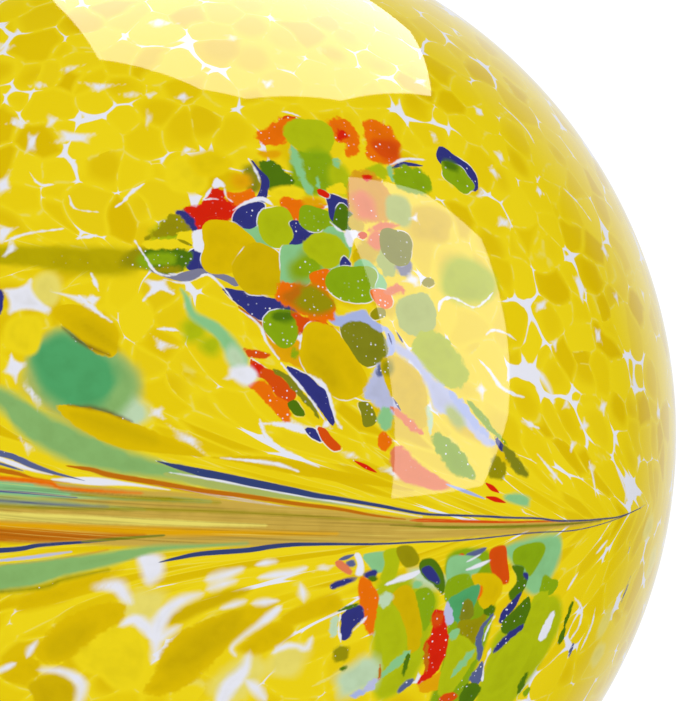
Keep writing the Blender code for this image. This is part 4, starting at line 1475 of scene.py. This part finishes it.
@dataclass(frozen=True)
class StrayChips:
    """Coloured chips among the yellow ones on the sides that are seen less."""

    def group(self) -> bpy.types.NodeTree:
        """Builds the shader group.

        Returns:
            The group, with a Color output.
        """
        tree, desk, given, out = new_group(
            "Stray chips",
            {"Base": "Color", "Cell": "Color", "Edge": "Float", "Cluster": "Float"},
            {"Color": "Color"},
        )
        split = desk.split(given["Cell"])
        shade = desk.palette(split[0], (
            (0.0, Glass.ORANGE), (0.12, Glass.LIME), (0.26, Glass.NAVY), (0.36, Glass.LEAF),
            (0.48, Glass.MINT), (0.58, Glass.RED), (0.66, Glass.GOLD), (0.76, Glass.DARK_LEAF),
            (0.86, Glass.LAVENDER), (0.92, Glass.AMBER)), steps=True)
        there = desk.math("LESS_THAN", split[2], given["Cluster"])
        body = desk.math("MULTIPLY", there, desk.ramp(given["Edge"], 0.0, 0.03))
        rim = desk.math("MULTIPLY", desk.ramp(given["Edge"], 0.05, 0.0),
                        desk.ramp(given["Cluster"], 0.3, 0.6, 0.0, 0.8))
        patched = desk.mix(body, given["Base"], shade)
        desk.set(out["Color"], desk.mix(rim, patched, colour(Glass.SILVER)))
        return tree


@dataclass(frozen=True)
class MeltedMark:
    """One sheet of marks: crisp or blurred borders, silvery rims and uneven colour."""

    wobble_mm: float = 3.0
    rim_mm: float = 0.2
    spread_mm: float = 0.1

    def group(self) -> bpy.types.NodeTree:
        """Builds the shader group.

        Returns:
            The group, with a Color output.
        """
        tree, desk, given, out = new_group(
            "Melted marks",
            {"Base": "Color", "Edge": "Color", "Wobble": "Float", "Blotch": "Float",
             "Rim": "Float"},
            {"Color": "Color"},
        )
        edge = desk.split(given["Edge"])
        grey = desk.node("ShaderNodeRGBToBW", None, {0: given["Base"]}).outputs[0]
        spread = desk.math("MULTIPLY", grey, self.spread_mm)
        cross = desk.math("ABSOLUTE", desk.math("ADD", edge[0], desk.math("MULTIPLY", spread, 0.1)))
        reach = desk.math("SUBTRACT", edge[1], spread)
        code = desk.math("ADD", edge[2], desk.math("MULTIPLY", spread, 0.01))
        number = desk.math("FLOOR", code)
        softness = desk.math("MULTIPLY", desk.math("SUBTRACT", code, number), SOFTEST_MM)
        steps = len(Glass)
        tint = desk.palette(desk.math("DIVIDE", desk.math("ADD", number, 0.5), steps),
                            [(i / steps, glass) for i, glass in enumerate(Glass)], steps=True)
        middling = desk.math("ABSOLUTE", desk.math("SUBTRACT", softness, 0.5))
        loose = desk.ramp(middling, 0.0, 0.34, self.wobble_mm, self.wobble_mm * 0.15)
        shake = desk.math("MULTIPLY", given["Wobble"], loose)
        away = desk.math("ADD", desk.math("SUBTRACT", cross, reach), shake)
        feather = desk.math("ADD", desk.math("MULTIPLY", given["Blotch"], 2.0), 0.65)
        soft = desk.math("MAXIMUM", desk.math("MULTIPLY", softness, feather), 0.09)
        inside = desk.ramp(away, soft, desk.math("MULTIPLY", soft, -1.0))
        dim = desk.math("MULTIPLY", desk.ramp(away, -0.3, -2.4), given["Blotch"])
        shade = desk.mix(dim, tint, (0.72, 0.7, 0.6, 1.0), "MULTIPLY")
        mixed = desk.mix(inside, given["Base"], shade)
        near = desk.ramp(desk.math("ABSOLUTE", desk.math("SUBTRACT", away, 0.12)),
                         self.rim_mm, self.rim_mm * 0.35)
        crisp = desk.math("LESS_THAN", desk.math("ADD", softness, cross), 0.25)
        rim = desk.math("MULTIPLY", desk.math("MULTIPLY", near, crisp), given["Rim"])
        desk.set(out["Color"], desk.mix(rim, mixed, colour(Glass.SILVER)))
        return tree


@dataclass(frozen=True)
class Bubbles:
    """Tiny bubbles that show as pale specks in the dark and clear chips."""

    spacing_mm: float = 1.05

    def group(self) -> bpy.types.NodeTree:
        """Builds the shader group.

        Returns:
            The group, with a Color output.
        """
        tree, desk, given, out = new_group(
            "Bubbles", {"Base": "Color", "Place": "Vector", "Amount": "Float"},
            {"Color": "Color"},
        )
        specks = desk.cells(given["Place"], 1.0 / self.spacing_mm)
        split = desk.split(specks.outputs["Color"])
        size = desk.ramp(split[0], 0.3, 1.0, 0.02, 0.25)
        speck = desk.ramp(desk.math("SUBTRACT", specks.outputs["Distance"], size), 0.05, -0.05)
        speck = desk.math("MULTIPLY", speck, desk.math("GREATER_THAN", split[0], 0.35))
        grey = desk.node("ShaderNodeRGBToBW", None, {0: given["Base"]}).outputs[0]
        tint = desk.split(given["Base"])
        cool = desk.math("ADD", tint[1], tint[2])
        dark = desk.math("MULTIPLY", desk.ramp(grey, 0.37, 0.34), desk.ramp(cool, 0.45, 0.42))
        patch = desk.ramp(desk.noise(given["Place"], 0.12, 1.0), 0.42, 0.58, 0.1, 0.9)
        patch = desk.math("MULTIPLY", patch, desk.ramp(given["Amount"], 0.3, 0.6))
        share = desk.math("MULTIPLY", desk.math("MULTIPLY", speck, dark), patch)
        desk.set(out["Color"], desk.mix(share, given["Base"], colour(Glass.SILVER)))
        return tree


@dataclass(frozen=True)
class ArtGlass:
    """The ball's whole finish: melted colours under a clear, fire-polished skin."""

    skin_roughness: float = 0.03
    ground_roughness: float = 0.42
    index: float = 1.5
    coat: float = 0.35
    waviness_mm: float = 0.012
    ground_top: float = 0.00012
    ground_foot: float = 0.00004

    def material(self, sheets: int) -> bpy.types.Material:
        """Builds the material.

        Args:
            sheets: How many sheets of marks the mesh carries.

        Returns:
            The material.
        """
        material = bpy.data.materials.new(GLASS_SLOT)
        material.use_nodes = True
        desk = Desk(material.node_tree)
        shader = material.node_tree.nodes["Principled BSDF"]
        place = desk.node("ShaderNodeTexCoord").outputs["Object"]
        place_mm = desk.vector("SCALE", place, 1.0 / MM)
        flow = desk.attribute("flow").outputs["Vector"]
        extra = desk.parts(desk.attribute("extra").outputs["Vector"])
        field_tree, stray_tree = YellowField().group(), StrayChips().group()
        mark_tree, bubble_tree = MeltedMark().group(), Bubbles().group()
        melted = self.put(desk, field_tree, {"Flow": flow, "Wild": extra[0]})
        base = self.put(desk, stray_tree, {"Base": melted["Color"], "Cell": melted["Cell"],
                                           "Edge": melted["Edge"], "Cluster": extra[1]})["Color"]
        wobble = desk.math("SUBTRACT", desk.noise(place_mm, 0.55, 3.5), 0.5)
        wobble = desk.math("MULTIPLY", wobble, extra[2])
        blotch = desk.ramp(desk.noise(place_mm, 0.22, 2.0), 0.3, 0.75, 0.0, 0.32)
        rims = desk.ramp(desk.noise(place_mm, 0.16, 1.0), 0.48, 0.64, 0.0, 0.85)
        for number in range(sheets):
            inputs = {
                "Base": base, "Edge": desk.attribute(f"sheet_{number}").outputs["Color"],
                "Wobble": wobble, "Blotch": blotch, "Rim": rims,
            }
            base = self.put(desk, mark_tree, inputs)["Color"]
        base = self.grain(desk, base)
        base = self.put(desk, bubble_tree, {"Base": base, "Place": place_mm,
                                            "Amount": extra[2]})["Color"]
        desk.set(shader.inputs["Base Color"], base)
        shader.inputs["IOR"].default_value = self.index
        shader.inputs["Coat Weight"].default_value = self.coat
        shader.inputs["Coat Roughness"].default_value = self.skin_roughness
        ground = desk.ramp(desk.parts(place)[2], self.ground_top, self.ground_foot,
                           self.skin_roughness, self.ground_roughness)
        desk.set(shader.inputs["Roughness"], ground)
        wave = desk.noise(place_mm, 0.05, 1.0)
        bump = desk.node("ShaderNodeBump", None, {"Height": wave, "Strength": 1.0,
                                                  "Distance": self.waviness_mm * MM})
        desk.set(shader.inputs["Normal"], bump.outputs[0])
        return material

    @staticmethod
    def put(desk: Desk, tree: bpy.types.NodeTree, inputs: dict) -> bpy.types.NodeOutputs:
        """Places a group and returns its outputs."""
        return desk.node("ShaderNodeGroup", {"node_tree": tree}, inputs).outputs

    @staticmethod
    def grain(desk: Desk, base: Setting) -> bpy.types.NodeSocket:
        """Draws fine threads along the band.

        Args:
            desk: Where the material is made.
            base: The colour so far.

        Returns:
            The colour with threads.
        """
        parts = desk.parts(desk.attribute("band").outputs["Vector"])
        along = desk.node("ShaderNodeCombineXYZ", None, {
            0: desk.math("MULTIPLY", parts[0], 0.02), 1: desk.math("MULTIPLY", parts[1], 1.5),
        }).outputs[0]
        thread = desk.noise(along, 1.0, 4.0)
        dark = desk.math("MULTIPLY", desk.ramp(thread, 0.5, 0.34, 0.0, 0.3), parts[2])
        base = desk.mix(dark, base, colour(Glass.UMBER), "MULTIPLY")
        light = desk.math("MULTIPLY", desk.ramp(thread, 0.56, 0.74, 0.0, 0.5), parts[2])
        return desk.mix(light, base, colour(Glass.PALE_YELLOW))


@dataclass
class GazingBall:
    """The glass ball: its skin, what is melted into it, and its finish."""

    surface: BallSurface
    band_line: tuple[tuple[float, float], ...] = (
        (-180, -2.4), (-60, -1.6), (-17, -0.9), (0, -1.8), (10, -2.3), (20, -3.0), (30, -3.8),
        (40, -4.5), (50, -5.1), (60, -5.6), (75, -5.0), (180, -2.4),
    )
    clusters: tuple[tuple[float, float, float, float], ...] = (
        (-70, 22, 34, 0.8), (-128, -30, 40, 0.75), (152, 30, 42, 0.8), (110, -38, 30, 0.7),
    )
    band_half_mm: tuple[tuple[float, float], ...] = (
        (-70, 0), (-40, 5), (-17, 7.5), (10, 5), (20, 3.6), (30, 2.4), (45, 1.2), (60, 0),
    )
    thread_fade_mm: float = 0.6

    def drags(self) -> tuple[DragLine, ...]:
        """The lines along which the glass was dragged."""
        return (
            DragLine(self.band_line, 140.0, 12.0,
                     ((-180, 0.0), (-150, 0.0), (-90, 1.0), (20, 1.0), (45, 0.55), (62, 0.25),
                      (80, 0.0), (180, 0.0))),
            DragLine(((-180, 30), (0, 26.6), (180, 26)), 26.0, 6.0,
                     ((-180, 0.0), (-90, 1.0), (-12, 1.0), (2, 0.0), (180, 0.0))),
            DragLine(((-180, -24), (180, -24)), 90.0, 10.0,
                     ((-180, 1.0), (-110, 0.0), (100, 0.0), (150, 1.0), (180, 1.0))),
        )

    def flow(self, lon: np.ndarray, lat: np.ndarray) -> np.ndarray:
        """Where each point's glass lay before the drags, in millimetres from the centre.

        Args:
            lon: Longitudes in degrees.
            lat: Latitudes in degrees.

        Returns:
            One row of x, y and z for each point.
        """
        moved = np.zeros_like(lon)
        for drag in self.drags():
            moved += drag.shift(lon, lat, self.surface.radius_mm)
        return directions(lon - moved, lat) * self.surface.radius_mm

    def extras(self, lon: np.ndarray, lat: np.ndarray, flow: np.ndarray) -> np.ndarray:
        """How wild the field is and how near a cluster lies, at each point.

        Args:
            lon: Longitudes in degrees.
            lat: Latitudes in degrees.
            flow: Where each point's glass lay before the drags.

        Returns:
            One row for each point, its third value telling how uneven the borders are.
        """
        hidden = np.clip((-24 - lon) / 8, 0, 1) + np.clip((lon - 82) / 10, 0, 1)
        wild = np.clip(np.maximum.reduce([hidden, (lat - 56) / 8, (-26 - lat) / 5]), 0, 1)
        gappy = np.maximum(wild, 0.4 * np.clip((lon - 38) / 14, 0, 1))
        gappy = np.maximum(gappy, 0.5 * np.clip((lat - 34) / 8, 0, 1))
        across = np.abs(self.drags()[0].offsets(lon, lat, self.surface.radius_mm))
        uneven = np.clip((across - 7.0) / 14.0, 0.12, 1.0)
        spread = np.zeros_like(lon)
        for centre_lon, centre_lat, size_mm, most in self.clusters:
            outward, _, _ = compass(centre_lon, centre_lat)
            away = np.linalg.norm(flow - outward * self.surface.radius_mm, axis=1)
            spread = np.maximum(spread, most * np.exp(-((away / size_mm) ** 4)))
        return np.stack([gappy, spread * wild, uneven], axis=-1)

    def band(self, lon: np.ndarray, lat: np.ndarray) -> np.ndarray:
        """Place along and across the band, and how much of its threads shows.

        Args:
            lon: Longitudes in degrees.
            lat: Latitudes in degrees.

        Returns:
            One row for each point.
        """
        radius = self.surface.radius_mm
        across = self.drags()[0].offsets(lon, lat, radius)
        half = np.interp(lon, *np.array(self.band_half_mm).T)
        shows = np.clip((half - np.abs(across)) / self.thread_fade_mm, 0, 1)
        return np.stack([np.radians(lon) * radius, across, shows], axis=-1)

    def build(self) -> bpy.types.Object:
        """Makes the ball and dresses it.

        Returns:
            The finished piece.
        """
        ball = self.surface.build("glass_ball_art")
        mesh = ball.data
        count = len(mesh.vertices)
        points = np.empty(count * 3)
        mesh.vertices.foreach_get("co", points)
        unit = points.reshape(-1, 3) - np.array(self.surface.centre)
        unit /= np.linalg.norm(unit, axis=1, keepdims=True)
        lon = np.degrees(np.arctan2(unit[:, 0], -unit[:, 1]))
        lat = np.degrees(np.arcsin(np.clip(unit[:, 2], -1, 1)))
        flow = self.flow(lon, lat)
        self.store(mesh, "flow", flow)
        self.store(mesh, "extra", self.extras(lon, lat, flow))
        self.store(mesh, "band", self.band(lon, lat))
        sheets = MeltSheets(unit, self.surface.radius_mm, self.spacing(unit))
        sheets.lay(ALL_MARKS)
        for number, sheet in enumerate(sheets.sheets):
            edge = np.stack([sheet["cross"], sheet["reach"], sheet["code"]], axis=-1)
            self.store(mesh, f"sheet_{number}", edge)
        mesh.materials.append(ArtGlass().material(len(sheets.sheets)))
        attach(ball, BODY)
        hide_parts(BALL_NODE)
        log.info("%s: %d points, %d marks on %d sheets", ball.name, count, len(ALL_MARKS),
                 len(sheets.sheets))
        return ball

    def spacing(self, unit: np.ndarray) -> np.ndarray:
        """How far apart the mesh's points lie around each of them, in millimetres."""
        surface = self.surface
        middle, _, _ = compass(surface.crowd_lon, surface.crowd_lat)
        half = np.arccos(np.clip(unit @ middle, -1, 1)) / 2
        square = (np.tan(np.minimum(half, 1.5)) * surface.crowding) ** 2
        growth = (1 + square) / (1 + square / surface.crowding**2) / surface.crowding
        return growth * surface.radius_mm * math.pi / 2 / surface.rows

    @staticmethod
    def store(mesh: bpy.types.Mesh, name: str, values: np.ndarray) -> None:
        """Keeps a vector for each point of the mesh."""
        layer = mesh.attributes.new(name, "FLOAT_VECTOR", "POINT")
        layer.data.foreach_set("vector", np.ascontiguousarray(values, dtype=np.float32).ravel())


@dataclass(frozen=True)
class Softbox:
    """A studio softbox, given by the directions of its corners as seen from the ball.

    Each corner is an azimuth from the camera's side round to the right, and an elevation.
    """

    name: str
    corners: tuple[tuple[float, float], ...]
    brightness: float
    distance: float = 14.0

    def build(self, centre: Sequence[float]) -> bpy.types.Object:
        """Makes the softbox.

        Args:
            centre: The ball's centre.

        Returns:
            The lit panel.
        """
        azimuth, elevation = np.array(self.corners, dtype=float).T
        rim = directions(azimuth, elevation)
        middle = rim.mean(axis=0)
        points = np.vstack([rim, middle / np.linalg.norm(middle)]) * self.distance
        points += np.array(centre)
        count = len(rim)
        faces = [(i, (i + 1) % count, count) for i in range(count)]
        mesh = bpy.data.meshes.new(self.name)
        mesh.from_pydata(points.tolist(), [], faces)
        panel = bpy.data.objects.new(self.name, mesh)
        bpy.context.scene.collection.objects.link(panel)
        mesh.materials.append(self.material())
        panel.visible_camera = False
        panel.visible_diffuse = False
        panel.visible_shadow = False
        return panel

    def material(self) -> bpy.types.Material:
        """Plain white light."""
        material = bpy.data.materials.new(self.name)
        material.use_nodes = True
        material.cycles.emission_sampling = "NONE"
        tree = material.node_tree
        tree.nodes.clear()
        desk = Desk(tree)
        light = desk.node("ShaderNodeEmission", None, {"Strength": self.brightness})
        out = desk.node("ShaderNodeOutputMaterial")
        tree.links.new(light.outputs[0], out.inputs["Surface"])
        return material


@dataclass
class Studio:
    """Plain pale floor, even light, two softboxes and the camera."""

    centre: tuple[float, float, float]
    radius: float
    distance: float = 3.0
    elevation: float = 7.0
    image_width: int = 679
    image_height: int = 701
    sensor_mm: float = 36.0
    ball_pixel: tuple[float, float] = (162.7, 434.9)
    ball_pixel_radius: float = 513.4
    floor_size: float = 12.0
    floor_colour: tuple[float, float, float, float] = (0.82, 0.82, 0.82, 1.0)
    floor_roughness: float = 0.8
    floor_glow: float = 0.25
    even_light: float = 1.04
    backdrop: float = 0.88
    backdrop_span: tuple[float, float] = (0.58, 1.06)
    clip_end: float = 50.0
    overhead: Softbox = Softbox(
        "overhead_softbox",
        ((-158, 54), (-138, 75.5), (97, 83.7), (91, 76), (110, 60), (130, 42), (153, 33),
         (175, 27), (-165, 35)), 3.8)
    side: Softbox = Softbox(
        "side_softbox",
        ((75, 54), (92, 43), (97, 31), (91, 20), (84, 4), (76, -7), (52.5, -8), (55, 20),
         (60.5, 46)), 3.05)

    def build(self) -> None:
        """Sets up everything around the ball."""
        self.floor()
        self.overhead.build(self.centre)
        self.side.build(self.centre)
        self.world()
        self.camera()
        bpy.context.scene.view_settings.view_transform = "Standard"
        log.info("studio: floor, two softboxes, world and camera")

    def floor(self) -> None:
        """Lays a pale floor under the ball."""
        mesh = bpy.data.meshes.new("floor")
        half = self.floor_size / 2
        mesh.from_pydata([(-half, -half, 0), (half, -half, 0), (half, half, 0), (-half, half, 0)],
                         [], [(0, 1, 2, 3)])
        floor = bpy.data.objects.new("floor", mesh)
        bpy.context.scene.collection.objects.link(floor)
        material = bpy.data.materials.new("pale_floor")
        material.use_nodes = True
        shader = material.node_tree.nodes["Principled BSDF"]
        shader.inputs["Base Color"].default_value = self.floor_colour
        shader.inputs["Roughness"].default_value = self.floor_roughness
        shader.inputs["Specular IOR Level"].default_value = 0.0
        shader.inputs["Emission Color"].default_value = (1.0, 1.0, 1.0, 1.0)
        shader.inputs["Emission Strength"].default_value = self.floor_glow
        mesh.materials.append(material)
        floor.visible_glossy = False
        floor.visible_diffuse = False

    def world(self) -> None:
        """Even light for the glass's own colour, and a bright backdrop in its reflections."""
        world = bpy.data.worlds.new("studio")
        bpy.context.scene.world = world
        world.use_nodes = True
        world.cycles.sampling_method = "NONE"
        tree = world.node_tree
        tree.nodes.clear()
        desk = Desk(tree)
        ray = desk.node("ShaderNodeLightPath").outputs
        direction = desk.parts(desk.node("ShaderNodeTexCoord").outputs["Generated"])
        backdrop = desk.ramp(direction[1], *self.backdrop_span, 0.0, self.backdrop)
        mirrored = desk.math("MULTIPLY", ray["Is Glossy Ray"], 1.0)
        strength = desk.ramp(mirrored, 0.0, 1.0, self.even_light, backdrop)
        strength = desk.math("MAXIMUM", strength, desk.math("MULTIPLY", ray["Is Camera Ray"], 1.0))
        sky = desk.node("ShaderNodeBackground", None, {"Strength": strength})
        sky.inputs["Color"].default_value = (1.0, 1.0, 1.0, 1.0)
        out = desk.node("ShaderNodeOutputWorld")
        tree.links.new(sky.outputs[0], out.inputs["Surface"])

    def camera(self) -> None:
        """Puts the camera where the photograph was taken from, with no shift."""
        tilt = math.radians(self.elevation)
        forward = np.array([0.0, math.cos(tilt), -math.sin(tilt)])
        rightward = np.array([1.0, 0.0, 0.0])
        upward = np.cross(rightward, forward)
        pixel = self.radius / self.ball_pixel_radius
        across = (self.image_width / 2 - self.ball_pixel[0]) * pixel
        above = (self.ball_pixel[1] - self.image_height / 2) * pixel
        aim = np.array(self.centre) + rightward * across + upward * above
        data = bpy.data.cameras.new("camera")
        data.sensor_width = self.sensor_mm
        longest = max(self.image_width, self.image_height)
        data.lens = self.sensor_mm * self.distance / (longest * pixel)
        data.clip_end = self.clip_end
        camera = bpy.data.objects.new("camera", data)
        camera.location = aim - forward * self.distance
        camera.rotation_euler = (math.pi / 2 - tilt, 0.0, 0.0)
        bpy.context.scene.collection.objects.link(camera)
        bpy.context.scene.camera = camera


def main() -> None:
    """Builds the ball and the studio."""
    logging.basicConfig(level=logging.INFO)
    surface = BallSurface.from_frame()
    GazingBall(surface).build()
    Studio(surface.centre, surface.radius).build()


if __name__ == "__main__":
    main()
